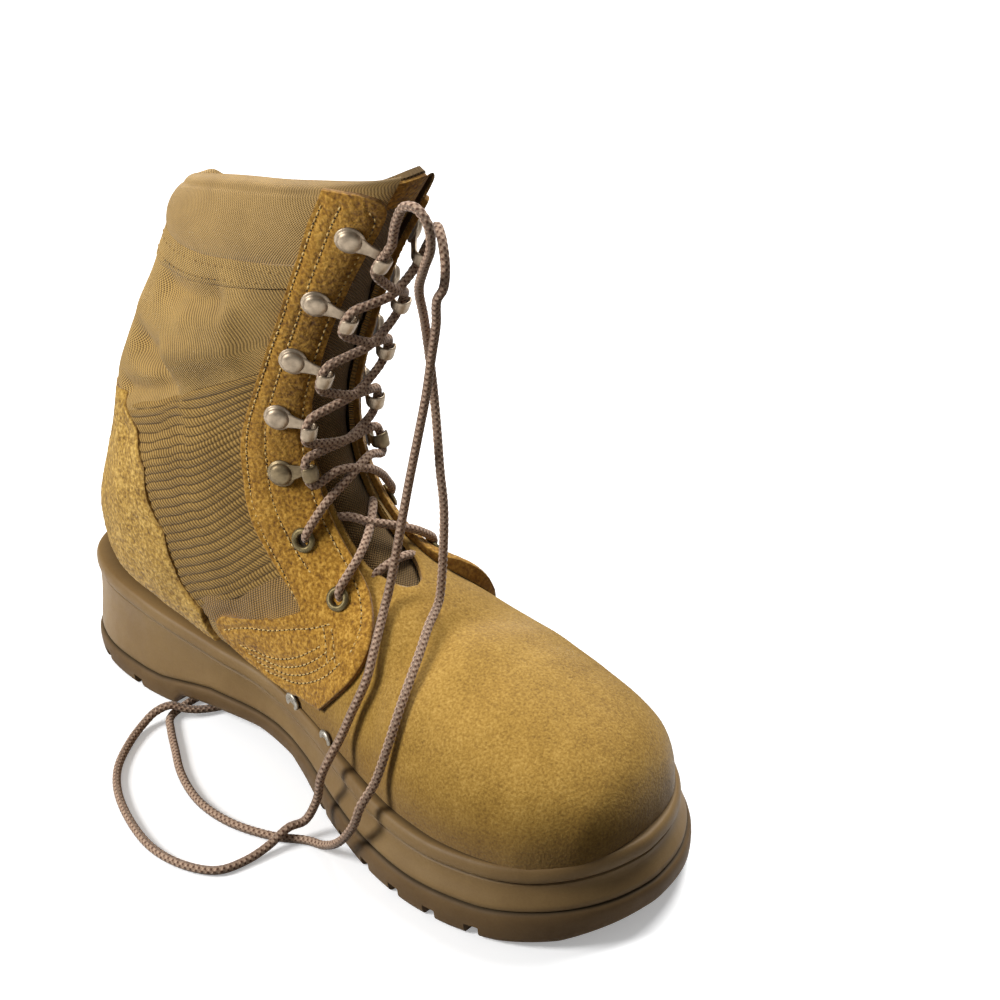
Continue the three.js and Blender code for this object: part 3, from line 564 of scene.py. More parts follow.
def rubber(name, dark, light, roughness=0.6):
    n = Nodes(name)
    cloud = n.noise(30, 4, 0.55)
    fine = n.noise(0.7, 2, 0.5, 1.0)
    tone = n.plus(n.times(cloud, 0.8), n.times(fine, 0.2))
    colour = n.ramp(tone, [(0.3, srgb(*dark)), (0.7, srgb(*light))])
    # painted shade in the parting groove, under the rim's lip and down the inside of the rim
    colour = n.mix(n.times(n.attribute("groove"), 0.8), colour, srgb(52, 43, 28))
    rough = n.plus(n.times(n.noise(4, 3, 0.6, 3.0), 0.2), roughness - 0.1)
    return n.finish(colour, rough, n.bump(fine, 0.12, 0.5), specular=0.25)


def satin_metal(name, dark, light, roughness):
    n = Nodes(name)
    cloud = n.noise(3, 3, 0.6)
    scratch = n.noise(0.25, 2, 0.5, 2.0)
    colour = n.ramp(cloud, [(0.3, srgb(*dark)), (0.7, srgb(*light))])
    rough = n.plus(n.times(scratch, 0.15), roughness)
    return n.finish(colour, rough, n.bump(scratch, 0.04, 0.4), metallic=0.85)


# The lace's braid: its pitch along the cord, yarns round it each way, and how far they swell
BRAID_PITCH, BRAID_TURNS, BRAID_SWELL = 2.3, 4, 0.07


def braided(name):
    """Round braided cord: two families of yarns, tan with brown flecks in one of them."""
    n = Nodes(name)
    s, t = n.along(0), n.along(1)
    k = 2 * math.pi / BRAID_PITCH
    right = n.math("COSINE", n.plus(n.times(s, k), n.times(t, BRAID_TURNS)))
    left = n.math("COSINE", n.math("SUBTRACT", n.times(s, k), n.times(t, BRAID_TURNS)))
    height = n.plus(n.times(n.plus(right, left), 0.25), 0.5)
    fleck = n.noise(0.8, 2, 0.6)
    tone = n.plus(height, n.about_zero(fleck, 0.8))
    colour = n.ramp(tone, [(0.12, srgb(92, 62, 46)), (0.36, srgb(152, 123, 100)),
                           (0.72, srgb(196, 168, 143))])
    brown = n.ramp(right, [(0.66, BLACK), (0.86, WHITE)])
    colour = n.mix(n.times(brown, 0.4), colour, srgb(124, 86, 66))
    return n.finish(colour, 0.8, n.bump(height, 0.35, 0.8), sheen=0.2, specular=0.3)


def thread(name, dark, light):
    n = Nodes(name)
    colour = n.ramp(n.noise(0.8, 2, 0.6), [(0.35, srgb(*dark)), (0.65, srgb(*light))])
    return n.finish(colour, 0.75, n.bump(n.noise(0.3, 1, 0.5), 0.08, 0.6), specular=0.3)


VAMP_SUEDE = suede("vamp_suede", (112, 80, 24), (160, 123, 50), (194, 156, 80),
                   nap=0.8, grain=0.5, mottle=0.25)
COUNTER_SUEDE = suede("counter_suede", (108, 76, 24), (176, 137, 60), (220, 181, 98),
                      nap=1.2, grain=0.76, mottle=0.2)
QUARTER_SUEDE = suede("quarter_suede", (104, 66, 14), (168, 121, 38), (208, 160, 70),
                      nap=1.1, grain=0.74, mottle=0.25)
SHAFT_NYLON = woven("shaft_nylon", (74, 52, 18), (210, 170, 98), pitch=1.5, depth=0.5)
COLLAR_NYLON = woven("collar_nylon", (108, 82, 38), (200, 162, 98),
                     pitch=1.2, depth=0.4, sheen=0.2, cloudy=0.3)
CANVAS = woven("side_canvas", (60, 42, 14), (184, 142, 76), pitch=1.6, depth=0.55)
TONGUE_NYLON = woven("tongue_nylon", (60, 46, 22), (128, 100, 58), pitch=1.3, depth=0.35)
LINING_CLOTH = woven("lining_cloth", (40, 30, 16), (84, 65, 38), pitch=1.6, depth=0.3)
INSOLE_CLOTH = woven("insole_cloth", (52, 42, 28), (84, 68, 46), pitch=1.8, depth=0.2)
WEBBING = twill("ribbed_webbing", (92, 66, 24), (186, 149, 82), pitch=1.9, skew=0.8)
MIDSOLE_RUBBER = rubber("midsole_rubber", (116, 90, 54), (138, 111, 70), roughness=0.55)
OUTSOLE_RUBBER = rubber("outsole_rubber", (88, 66, 38), (112, 87, 54), roughness=0.66)
HOOK_METAL_NICKEL = satin_metal("hook_nickel", (126, 112, 94), (170, 153, 131), roughness=0.38)
HOOK_METAL_DARK = satin_metal("hook_bronze", (96, 82, 60), (134, 118, 90), roughness=0.4)
EYELET_METAL = satin_metal("eyelet_brass", (82, 72, 46), (118, 104, 72), roughness=0.42)
VENT_METAL = satin_metal("vent_nickel", (140, 132, 118), (186, 180, 168), roughness=0.35)
LACE_CORD = braided("lace_cord")
PALE_THREAD = thread("pale_thread", (188, 152, 84), (232, 204, 140))
DARK_THREAD = thread("dark_thread", (112, 86, 42), (164, 132, 78))
# painted shade for the stitch holes and the eyelets' wells
HOLE_SHADE = thread("hole_shade", (30, 20, 8), (48, 34, 16))
AGLET_PLASTIC = rubber("aglet_plastic", (96, 70, 44), (128, 98, 66), roughness=0.35)


# ---------------------------------------------------------------- cords
def centripetal(points, per_span, closed=False):
    """Points on the centripetal Catmull-Rom curve through the given ones."""
    points = np.asarray(points, float)
    count = len(points)
    padded = np.vstack([points[-1], points, points[:2]]) if closed else extended(points)
    out = []
    for i in range(count if closed else count - 1):
        p = padded[i:i + 4]
        d = [max(np.linalg.norm(p[k + 1] - p[k]) ** 0.5, 1e-4) for k in range(3)]
        t1 = ((p[1] - p[0]) / d[0] - (p[2] - p[0]) / (d[0] + d[1]) + (p[2] - p[1]) / d[1]) * d[1]
        t2 = ((p[2] - p[1]) / d[1] - (p[3] - p[1]) / (d[1] + d[2]) + (p[3] - p[2]) / d[2]) * d[1]
        for w in np.arange(per_span) / per_span:
            out.append(p[1] + t1 * w + (-3 * p[1] + 3 * p[2] - 2 * t1 - t2) * w**2
                       + (2 * p[1] - 2 * p[2] + t1 + t2) * w**3)
    if not closed:
        out.append(points[-1])
    return np.array(out)


def evenly(path, step):
    """The same path with points a step apart, and its length."""
    lengths = lengths_along(path)
    count = max(2, int(round(lengths[-1] / step)) + 1)
    at = np.linspace(0, lengths[-1], count)
    return np.stack([np.interp(at, lengths, path[:, k]) for k in range(3)], -1), lengths[-1]


TUBE_SIDES = 14


def tube(path, radius):
    """Points, side faces, end faces and uv of a tube; radius may vary along it."""
    tangent = np.gradient(path, axis=0)
    tangent /= np.linalg.norm(tangent, axis=1, keepdims=True)
    side = np.cross(tangent[0], (0.3, 0.2, 1.0))
    frames = []
    for t in tangent:
        side = side - t * (side @ t)
        side /= np.linalg.norm(side)
        frames.append((side, np.cross(t, side)))
    sides = TUBE_SIDES
    angle = circle(sides)
    rings = [point + r * round_axes(angle, x, y)
             for point, (x, y), r in zip(path, frames, np.broadcast_to(radius, len(path)))]
    points = np.concatenate([np.array(rings).reshape(-1, 3), path[:1], path[-1:]])
    faces = grid_faces(len(path), sides, wrap=True)
    ends = []
    last = (len(path) - 1) * sides
    tip = len(points) - 2
    for j in range(sides):
        k = (j + 1) % sides
        ends.append([tip, k, j, j])
        ends.append([tip + 1, last + j, last + k, last + k])
    lengths = lengths_along(path)
    uv = np.stack([np.repeat(lengths, sides), np.tile(angle, len(path))], -1)
    uv = np.concatenate([uv, [[0, 0], [lengths[-1], 0]]])
    return points, faces, ends, uv


def tube_mesh(name, paths, radius, material, replaces=(), braid=0.0):
    """One piece of one or more tubes; braid is how far the yarns of a round braid swell."""
    all_points, all_faces, all_uv, start = [], [], [], 0
    for path in paths:
        points, faces, ends, uv = tube(path, radius)
        if braid:
            size = len(path) * TUBE_SIDES
            middle = np.repeat(path, TUBE_SIDES, axis=0)
            s = uv[:size, 0] * 2 * math.pi / BRAID_PITCH
            t = uv[:size, 1] * BRAID_TURNS
            swell = 1 + braid * (np.cos(s + t) + np.cos(s - t)) / 2
            points[:size] = middle + (points[:size] - middle) * swell[:, None]
        all_points.append(points)
        all_faces += [[start + i for i in face] for face in faces.tolist()]
        all_faces += [[start + i for i in face[:3]] for face in ends]
        all_uv.append(uv)
        start += len(points)
    return make_mesh(name, np.concatenate(all_points), all_faces, material, replaces,
                     np.concatenate(all_uv), 60)


LACE_TIGHT = 0.9  # the braid, pulled tight, in the cord of the CAD
CORD_STEP = 0.75


def lace_mesh(name, paths, replaces):
    return tube_mesh(name, paths, LACE_RADIUS * LACE_TIGHT, LACE_CORD, [replaces], braid=BRAID_SWELL)


# Free ends of the lace, as in the CAD: from the top hooks down over the vamp, round on the floor
# and in under the arch.
END_A = [
    (193.4, 15.6, 230.2), (199, 12.2, 232.6), (204.2, 8.9, 229.2), (206.6, 7.3, 221.6), (205.6, 6.9, 213.8),
    (202.5, 6.6, 208.8), (199.5, 8.5, 197.9), (196.5, 8.1, 183.5), (194.5, 6.7, 169.5), (193, 3.7, 155.2),
    (190.5, -0.3, 135.1), (189.4, -12.5, 93.5), (189.8, -15.3, 88.2), (196.3, -28, 77.1),
    (199.3, -35.5, 68.6), (198, -42.6, 57), (195.6, -47.5, 46), (193.5, -52.8, 37), (191.5, -55, 30),
    (188, -55.5, 17), (184.5, -59.5, 7.5), (182.3, -66, 6.8), (181.5, -76, 3.4), (180.5, -86, 2.1),
    (177, -97, 2.1), (165, -104, 2.1), (146, -106, 2.1), (115, -97, 2.1), (98, -86, 2.1), (87, -72, 2.1),
    (81.5, -60, 3.2), (81.5, -53.5, 5.8), (84.2, -47.5, 7.3), (88.5, -42.5, 4.9), (92, -37, 3.4),
    (97, -24, 2.1), (99, -6, 2.1),
]
END_B = [
    (194.3, -4.8, 233.8), (197.6, -5.7, 240.6), (202.2, -6.4, 246.4), (208.2, -6.4, 247.4),
    (212.6, -5.8, 243), (212.4, -4.6, 234.6), (206, -2.2, 224.2), (197.5, 3, 212.4), (193.5, 8.5, 198.8),
    (189.5, 14.2, 179.1), (190, 14.9, 165), (193, 12.8, 152.4), (197, 9.6, 138.5), (200.5, 7.3, 122.9),
    (203.5, 0.5, 91), (204.5, -2, 87.9), (208.3, -10.5, 84.9), (214.4, -22.3, 79.5), (221, -39, 67.8),
    (223, -48.6, 55.2), (222, -54.5, 43), (219.5, -60, 34), (217, -62, 25), (208, -62.5, 12),
    (198, -62, 4.5), (189, -62.6, 2.1), (177, -70, 2.1), (158, -76, 2.1), (139, -76, 2.1), (120, -70, 2.1),
    (104, -61, 2.1), (93, -54.5, 2.1), (85, -48.5, 2.1), (82.5, -38, 2.1), (82.5, -22, 2.1), (83, -6, 2.1),
]
AGLET_LENGTH, AGLET_RADIUS = 20.0, 1.8

# Hooks: rows down the eyestay; sizes as in the CAD
HOOK_ROWS = [15.15, 13.7, 12.4, 11.15, 9.8]
HOOK_ANGLE = 33
HOOK_LIFT = 3.1  # of the cap above the form
HOOK_REACH = 12.5
HOOK_METAL = 1.1
CURL_INNER = 2.5
CURL_HEIGHT = CURL_INNER + HOOK_METAL + 0.2
CURL_LENGTH = 5.0
EYELETS = [(8.45, 37), (7.25, 39)]


def surface_frame(u, v, distance):
    """Origin and axes on the boot: towards the throat, up along the rows, outward."""
    outward = form_normal(u, v)
    along = form_point(u + 0.1, v) - form_point(u - 0.1, v)
    up = along - outward * (along @ outward)
    up /= np.linalg.norm(up)
    forward = np.cross(up, outward) * -np.sign(v)
    return form_point(u, v) + outward * distance, forward, up, outward


def hook_frame(side, row):
    return surface_frame(row, side * HOOK_ANGLE, HOOK_LIFT)


def through_hook(side, row):
    """Where the lace goes into and out of a hook's curl."""
    origin, forward, up, outward = hook_frame(side, row)
    centre = origin + forward * HOOK_REACH + outward * CURL_HEIGHT
    return centre - up * CURL_LENGTH, centre + up * CURL_LENGTH


def free_end_path(side, rows):
    """Path and length of a free end, from the top hook through the given points."""
    below, above = through_hook(side, HOOK_ROWS[0])
    along = (above - below) / np.linalg.norm(above - below)
    path = centripetal([above + along * 0.3, above + along * 4.0, *rows], 24)
    return evenly(path, CORD_STEP)


def make_free_end(letter, side, rows):
    path, length = free_end_path(side, rows)
    lace = lace_mesh(f"free_lace_{letter}", [path], f"lace_end_{letter}")
    along = path[-1] - path[-4]
    along /= np.linalg.norm(along)
    steps = np.linspace(0.1, AGLET_LENGTH, 24)
    crimp = 1 - 0.12 * np.exp(-((steps - 2) / 1.2) ** 2)
    point = np.clip((AGLET_LENGTH - steps + 0.6) / 1.5, 0.3, 1) ** 0.5
    taper = AGLET_RADIUS * crimp * point
    tip_path = path[-1] + along * steps[:, None]
    aglet = tube_mesh(f"lace_tip_{letter}", [tip_path], taper, AGLET_PLASTIC, [f"aglet_{letter}"])
    route = [list(p) for p in (path[::4] - MIDDLE) * MM]
    route.append(list((path[-1] - MIDDLE) * MM))


make_free_end("a", 1, END_A)
make_free_end("b", -1, END_B)


def zigzag(side):
    """Out of the upper eyelet and from hook to hook to the top."""
    u, v = EYELETS[0]
    points = [offset_point(u, side * v, -3.0), offset_point(u, side * (v - 0.5), 1.5),
              offset_point(u + 0.06, side * (v - 4.0), 4.9), offset_point(8.65, side * 26, 5.2)]
    points += [offset_point(a, side * b, c) for a, b, c in [(8.8, 18, 5.6), (9.05, 5, 7), (9.3, -9, 7.3)]]
    rows = HOOK_ROWS[::-1]
    for i, row in enumerate(rows):
        hook = through_hook(-side if i % 2 == 0 else side, row)
        if i > 0:
            middle = (points[-1] + hook[0]) / 2 + form_normal(row, 0.0) * 3.5
            bend = centripetal([points[-2], points[-1], middle, hook[0], hook[1]], 8)
            points += [bend[12], middle, bend[20]]
        points += list(hook)
    return points


def make_lacing():
    """Crossings between the hooks and between the eyelets, and the bar below them."""
    def lace_path(points):
        return evenly(centripetal(points, 16), CORD_STEP)[0]

    lace_mesh("laced_hooks", [lace_path(zigzag(side)) for side in (-1, 1)], "lace_cross_hooks")
    low_u, low_v = EYELETS[1]
    top_u, top_v = EYELETS[0]
    crossings = []
    for side in (-1, 1):
        over = [(low_u, low_v, -3), (low_u, low_v - 0.6, 1.6), (low_u + 0.05, low_v - 4, 4.9), (7.4, 27, 5),
                (7.5, 20, 4.9), (7.75, 9, 2.4), (8.0, -1, 0.4), (8.3, -12, -0.8), (8.45, -24, -3.6),
                (top_u, -top_v + 2, -5.0)]
        over = [offset_point(u, side * v, distance + (0.8 if side > 0 else 0) * (abs(v) < 15))
                for u, v, distance in over]
        crossings.append(lace_path(over))
    lace_mesh("laced_eyelets", crossings, "lace_cross_eyelets")
    half_bar = [(-36, -5.5), (-26, -3.6), (-17, -1.6), (-9, -0.6)]
    bar = [*half_bar, (0, -0.5), *((-v, distance) for v, distance in half_bar[::-1])]
    lace_mesh("laced_bar", [lace_path([offset_point(7.15, v, distance) for v, distance in bar])], "lace_bar")


make_lacing()


# ---------------------------------------------------------------- stitches
def smooth_line(points_uv, per_span):
    """Rows and tens of degrees along a smooth line through (row, degrees) points."""
    return centripetal([(u, v / 10, 0) for u, v in points_uv], per_span)[:, :2].T


def place_line(points_uv, distance, step):
    """Points, tangents and normals a step apart along a smooth line of (row, degrees) points."""
    rows, tens = smooth_line(points_uv, 24)
    lengths = lengths_along(on_boot(rows, tens * 10, distance))
    at = np.arange(step / 2, lengths[-1], step)
    u = np.interp(at, lengths, rows)
    v = np.interp(at, lengths, tens) * 10
    points = on_boot(u, v, distance)
    tangent = np.gradient(points, axis=0)
    tangent /= np.linalg.norm(tangent, axis=1, keepdims=True) + 1e-9
    return points, tangent, form_normal(u, v)


def stitch_parts(points, tangents, normals, length, width, sink):
    """One short rounded thread for each point."""
    parts = []
    rings_each, sides = 5, 6
    steps = np.linspace(-1, 1, rings_each)
    angle = circle(sides)
    faces = grid_faces(rings_each, sides, wrap=True)
    for point, along, out in zip(points, tangents, normals):
        across = np.cross(along, out)
        turn = rng.normal(0, 0.08)
        axis = along * math.cos(turn) + across * math.sin(turn)
        side = np.cross(axis, out)
        rings = []
        for s in steps:
            r = width / 2 * math.sqrt(max(1 - s * s * 0.96, 0.02))
            centre = point + axis * (s * length / 2) + out * (sink - 0.35 * s * s)
            rings.append(centre + r * (np.cos(angle)[:, None] * side + np.sin(angle)[:, None] * out * 0.8))
        parts.append((np.concatenate(rings), faces))
    return parts


def hole_parts(points, tangents, normals, radius):
    """A small dimple between stitches, coloured as the painted shade of the hole."""
    parts = []
    sides = 7
    angle = circle(sides)
    faces = np.array([[sides, j, (j + 1) % sides, (j + 1) % sides] for j in range(sides)])
    for point, along, out in zip(points, tangents, normals):
        across = np.cross(along, out)
        ring = point + radius * (np.cos(angle)[:, None] * along * 1.2 + np.sin(angle)[:, None] * across)
        parts.append((np.vstack([ring, point + out * 0.12]), faces))
    return parts


class Seams:
    """Collects stitches and holes of all seams, made as two pieces at the end."""

    def __init__(self):
        self.pale, self.dark, self.holes = [], [], []

    def sew(self, line, distance, pitch=3.2, width=0.75, dark=False, hole=0.36):
        points, tangents, normals = place_line(line, distance, pitch)
        parts = stitch_parts(points, tangents, normals, pitch * 0.62, width, 0.12)
        (self.dark if dark else self.pale).extend(parts)
        if hole:
            between = (points[:-1] + points[1:]) / 2
            self.holes.extend(hole_parts(between + normals[:-1] * 0.06, tangents[:-1], normals[:-1], hole))

    def make(self):
        for name, parts, material in (("stitching_pale", self.pale, PALE_THREAD),
                                      ("stitching_dark", self.dark, DARK_THREAD),
                                      ("stitch_holes", self.holes, HOLE_SHADE)):
            points, faces = combined(parts)
            faces = [list(dict.fromkeys(face)) for face in faces.tolist()]
            make_mesh(name, points, faces, material)


seams = Seams()


def groove(lines, depth, width):
    """A function of points: the height of shallow grooves in a panel along its seam lines."""
    tracks = []
    for line in lines:
        rows, tens = smooth_line(line, 6)
        tracks.append(form_point(rows, tens * 10))

    def shape(points):
        height = np.zeros(points.shape[:-1])
        for track in tracks:
            height = np.minimum(height, -depth * np.exp(-(distance_to_line(points, track) / width) ** 2))
        return height
    return shape


# ---------------------------------------------------------------- vamp, shaft and lining
THROAT_HALF_ANGLE = 17.0
COLLAR_FRONT, COLLAR_BACK, COLLAR_DIP = 16.3, 16.45, 0.22


def collar_edge(v):
    """Row of the boot's top edge."""
    back = -np.cos(np.radians(v))
    return lerp(COLLAR_FRONT, COLLAR_BACK, (1 + back) / 2) - COLLAR_DIP * np.maximum(back, 0) ** 2


THROAT_START = 6.55  # row
VAMP_THICKNESS, SHAFT_THICKNESS = 1.7, 1.8
LINING_DEPTH, LINING_THICKNESS = 2.4, 0.6
TONGUE_INNER, TONGUE_OUTER = -WALL - 3.5, -WALL - 1.15
INSOLE_LOW, INSOLE_TOP = -WALL - 4.6, -WALL - 1.6


def throat_angle(u):
    """Half angle of the opening for the tongue, rounded at its low end."""
    return THROAT_HALF_ANGLE * np.sqrt(np.clip((u - THROAT_START) / 0.8, 0, 1))


# Heights of the midsole's rim, as x and z
RIM = [(0, 50), (20, 49.5), (60, 46), (110, 39), (160, 33.5), (200, 31.5), (250, 31), (290, 33), (312, 36)]


def make_vamp():
    """The suede front, from the toe to under the eyestays, counter and webbing."""
    for side, label in SIDES:
        u = np.concatenate([np.linspace(0.0, 1.0, 30, endpoint=False),
                            np.linspace(1.0, 6.4, 84, endpoint=False), np.linspace(6.4, 9.6, 44)])
        u, b = grid(u, np.linspace(0, 1, 98))
        under = 24 * np.sqrt(np.clip((u - 0.9) / 1.2, 0, 1))
        v = side * lerp(throat_angle(u), 180 - under, b)
        base, normal = form_point(u, v), form_normal(u, v)
        height = 0.22 * noise(base, 38, 3) + 0.08 * noise(base, 12, 4)
        edge = (b == 0) & (u > THROAT_START)
        height = height + relief(base) - 0.5 * edge
        outside, inside = layers(base, normal, height, height - VAMP_THICKNESS)
        outside[0], inside[0] = outside[0].mean(0), inside[0].mean(0)
        # Painted shade: the suede is darkened towards the sole, fading out 26 mm above the rim.
        sole_shade = 0.9 * (1 - smoothstep(0, 26, base[..., 2] - table(RIM, base[..., 0])))
        sheet_mesh(f"vamp_{label}", outside, inside, VAMP_SUEDE, ["vamp"], 60,
                   {"raw_edge_and_shade": np.maximum(edge, sole_shade)})


make_vamp()


SEAM_BACK, SEAM_DROP = 15.55, 1.15  # row at the back, and how many rows lower it is in front


def seam_row(v):
    """Where the collar is sewn to the shaft."""
    return SEAM_BACK - SEAM_DROP * (0.5 + 0.5 * np.cos(np.radians(v)))


PUFF_START = 12.2  # row from which the shaft's cloth stands out


def make_shaft():
    """The nylon shaft under the webbing and eyestays, up to the collar seam."""
    for side, label in SIDES:
        a, b = grid(np.linspace(0, 1, 138), np.linspace(0, 1, 98))
        v = side * lerp(THROAT_HALF_ANGLE + 0.5, 180, b)
        u = lerp(7.9, seam_row(v), a)
        base, normal = form_point(u, v), form_normal(u, v)
        up_puff = np.clip((u - PUFF_START) / (seam_row(v) - PUFF_START), 0, 1)
        puff = 1.6 * np.sin(np.pi * up_puff) ** 0.7 * smoothstep(40, 90, abs(v))
        height = 0.15 + relief(base) + puff + 0.35 * noise(base, 24, 11)
        outside, inside = layers(base, normal, height, np.minimum(height, 0.5) - SHAFT_THICKNESS)
        sheet_mesh(f"shaft_{label}", outside, inside, SHAFT_NYLON, ["shaft_lower", "shaft_upper"])


make_shaft()


def make_collar():
    """Padded collar: out from the seam, over the top edge and down the inside."""
    v = np.linspace(22, 338, 224)
    turn = signed(v)
    full = smoothstep(34, 80, abs(turn))
    low, shoulder = seam_row(turn), collar_edge(turn) - 0.16
    thick = lerp(3.0, 10.0, full)
    lift = 0.4  # of the pad's outer face where it is sewn
    path = []
    for t in np.linspace(0, 1, 34, endpoint=False):
        bulge = lerp(0.6, 3.2, full) * np.sin(np.pi * t) ** 0.55 * (1 - 0.25 * t)
        path.append((lerp(low - 0.02, shoulder, t), bulge + lift))
    for t in np.linspace(0, 1, 16, endpoint=False):
        angle = np.pi * t
        path.append((shoulder + 0.2 * np.sin(angle), lift - thick / 2 + thick / 2 * np.cos(angle)))
    for t in np.linspace(0, 1, 30):
        path.append((lerp(shoulder, low - 0.25, t), lift - thick - 1.2 * full * np.sin(np.pi * t)))
    grid_u, grid_d = np.array(path).transpose(1, 0, 2)
    base, normal = form_point(grid_u, v), form_normal(grid_u, v)
    ripple = 0.5 * noise(base, 34, 21) * full
    crease = relief(base)
    outside, centre = layers(base, normal, grid_d + crease + ripple, (lift - thick / 2) + crease)
    inside = centre + (outside - centre) * 0.55
    pad = sheet_mesh("padded_collar", outside, inside, COLLAR_NYLON, ["collar_pad"], 60)


make_collar()


def make_lining():
    a, v = grid(np.linspace(0, 1, 104), np.linspace(24, 336, 110))
    u = lerp(1.6, seam_row(signed(v)) + 0.1, a)
    v = np.where(u < 6.5, lerp(10, 350, (v - 24) / 312), v)
    base, normal = form_point(u, v), form_normal(u, v)
    sunk = np.minimum(relief(base) * smoothstep(6, 9, u), 0)
    outer, inner = layers(base, normal, sunk - LINING_DEPTH,
                          sunk - (LINING_DEPTH + LINING_THICKNESS))
    sheet_mesh("lining", outer, inner, LINING_CLOTH)


make_lining()


def make_tongue():
    start, end = 4.9, 16.15

    def place(a, b):
        u = lerp(start, end, a)
        return u, lerp(-1, 1, b) * lerp(30, 44, smoothstep(start, 9, u))

    def outer(u, b):
        middle = np.exp(-((b - 0.5) / 0.3) ** 4)
        return TONGUE_OUTER + 0.7 * middle * smoothstep(7, 8.5, u)

    def shape(points, u, v):
        ribs = 0.22 * np.sin(u * 5.5) * smoothstep(8, 9, u) * (1 - smoothstep(15.2, 15.5, u))
        return ribs + 0.25 * noise(points, 16, 31)

    panel("tongue_cloth", place, (150, 50), TONGUE_INNER, outer, TONGUE_NYLON, ["tongue"],
          shape=shape)
    for row in (15.5, 15.6):
        line = [(row, v) for v in (-40, -20, 0, 20, 40)]
        seams.sew(line, -WALL - 0.4, pitch=3.2, width=0.6, dark=True, hole=0)


make_tongue()


def make_insole():
    def place(a, b):
        u = lerp(1.3, 10.1, a)
        half = 52 * np.sqrt(np.clip(np.minimum((u - 0.9) / 1.2, (10.5 - u) / 0.6), 0, 1))
        return u, 180 + lerp(-1, 1, b) * half

    panel("insole_cloth", place, (60, 34), INSOLE_LOW, INSOLE_TOP, INSOLE_CLOTH, ["insole"])


make_insole()


# ---------------------------------------------------------------- webbing and side canvas
QUARTER_REAR = [(7.55, 59), (8.27, 55), (9.3, 52), (10.47, 49), (11.33, 49), (12.6, 49.5), (13.63, 50.5)]
COUNTER_EDGE = [(8.1, 122), (8.8, 94), (9.1, 92.5), (10.1, 86), (11.4, 90), (12.2, 106), (12.9, 128),
                (13.1, 150), (13.2, 172)]
RIB_PITCH = 3.7  # of the ribbed webbing


def webbing_low(b):
    return lerp(8.9, 8.22, b)


def ribs(points):
    """Height of the webbing's ribs, and the painted shade in the grooves between them."""
    length = np.linalg.norm(np.diff(points, axis=0), axis=2)
    length = np.vstack([np.zeros((1, points.shape[1])), np.cumsum(length, 0)])
    count = round(float(length[-1].mean()) / RIB_PITCH)
    rib = np.abs(np.sin(np.pi * ((length / length[-1]) * count))) ** 0.6
    return 0.5 * rib + 0.12 * noise(points, 24, 41), 1 - smoothstep(0.15, 0.62, rib)


def make_webbing():
    """Ribbed webbing between eyestay and counter, and a piece of canvas below it, on each side."""
    for side, label in SIDES:
        def place(a, b):
            u = lerp(webbing_low(b), lerp(12.75, 12.3, b), a)
            return u, side * lerp(table(COUNTER_EDGE, u) + 4, table(QUARTER_REAR, u) - 4, b)

        a, b = grid(np.linspace(0, 1, 300), eased(38, 0.01))
        u, v = place(a, b)
        base, normal = form_point(u, v), form_normal(u, v)
        # dark is the painted shade in the grooves between the ribs
        lift, dark = ribs(base)
        crease = relief(base)
        outside, inside = layers(base, normal, 0.7 + lift + crease, crease - 0.2)
        sheet_mesh(f"webbing_{label}", outside, inside, WEBBING, (), 60, {"groove": dark})

        def canvas(a, b):
            u = lerp(webbing_low(b) + 0.12, lerp(7.9, 7.35, b), a)
            return u, side * lerp(96, 54, b)

        panel(f"side_canvas_{label}", canvas, (40, 40), 0.0, 0.75, CANVAS,
              shape=lambda points, u, v: 0.5 * noise(points, 13, 43))


make_webbing()


# ---------------------------------------------------------------- suede overlays
QUARTER = np.array([
    # frontU frontV rearU rearV
    [16.15, 42, 16.3, 61],
    [15.9, 27, 15.9, 60],
    [15.5, 18.5, 15.5, 59],
    [14.6, 17, 14.6, 54],
    [13.6, 17, 13.6, 50],
    [12.6, 17, 12.7, 49],
    [11.6, 17, 11.9, 49],
    [10.6, 17, 11.1, 49],
    [9.6, 18, 10.2, 49],
    [8.8, 20, 9.3, 52],
    [8.1, 21, 8.3, 55],
    [7.4, 22, 7.6, 59],
    [6.85, 26, 8.05, 77],
    [6.35, 39, 8.55, 90],
    [6.28, 58, 8.3, 100],
    [6.6, 84, 7.9, 101],
])


def quarter_place(side):
    def place(a, b):
        row = through_rows(extended(QUARTER), a * (len(QUARTER) - 1))
        return lerp(row[..., 0], row[..., 2], b), side * lerp(row[..., 1], row[..., 3], b)
    return place


def quarter_lines(side):
    """Seam lines of an eyestay: along its rear edge twice, its front edge, and round the tab."""
    rear = [(16.0, 57.5), (15.5, 56), (14.6, 51.5), (13.6, 47.5), (12.7, 46.5), (11.5, 46.5), (10.2, 46.5),
            (9.3, 49.5), (8.3, 53), (7.75, 56.5)]
    second = [(15.95, 48), (15.5, 47), (14.6, 43), (13.6, 39.5), (12.7, 38.5), (11.5, 38.5), (10.2, 38.5),
              (9.3, 41), (8.4, 43), (7.9, 43)]
    front = [(15.75, 32), (15.4, 23.5), (14.6, 21.5), (13.6, 21.5), (12.6, 21.5), (11.6, 21.5), (10.6, 21.5),
             (9.6, 22.5), (8.8, 24.5), (8.1, 25.5), (7.5, 26.5), (7.0, 30), (6.62, 39), (6.5, 52)]
    strip = [(8.4, 93), (8.15, 84), (7.85, 76), (7.55, 66), (7.3, 58), (7.1, 50)]
    tab = [[(6.52 + d, 56 + 8 * d), (6.62 + d, 66), (6.85 + d, 77), (7.15 + d, 86), (7.6 + d, 93)]
           for d in (0.05, 0.2, 0.35, 0.5)]
    short = [[(7.05, 50), (6.85, 54), (6.66, 59)], [(7.18, 53), (6.98, 57), (6.8, 62)]]
    lines = [rear, second, front, strip, *tab, *short]
    return [[(u, side * v) for u, v in line] for line in lines]


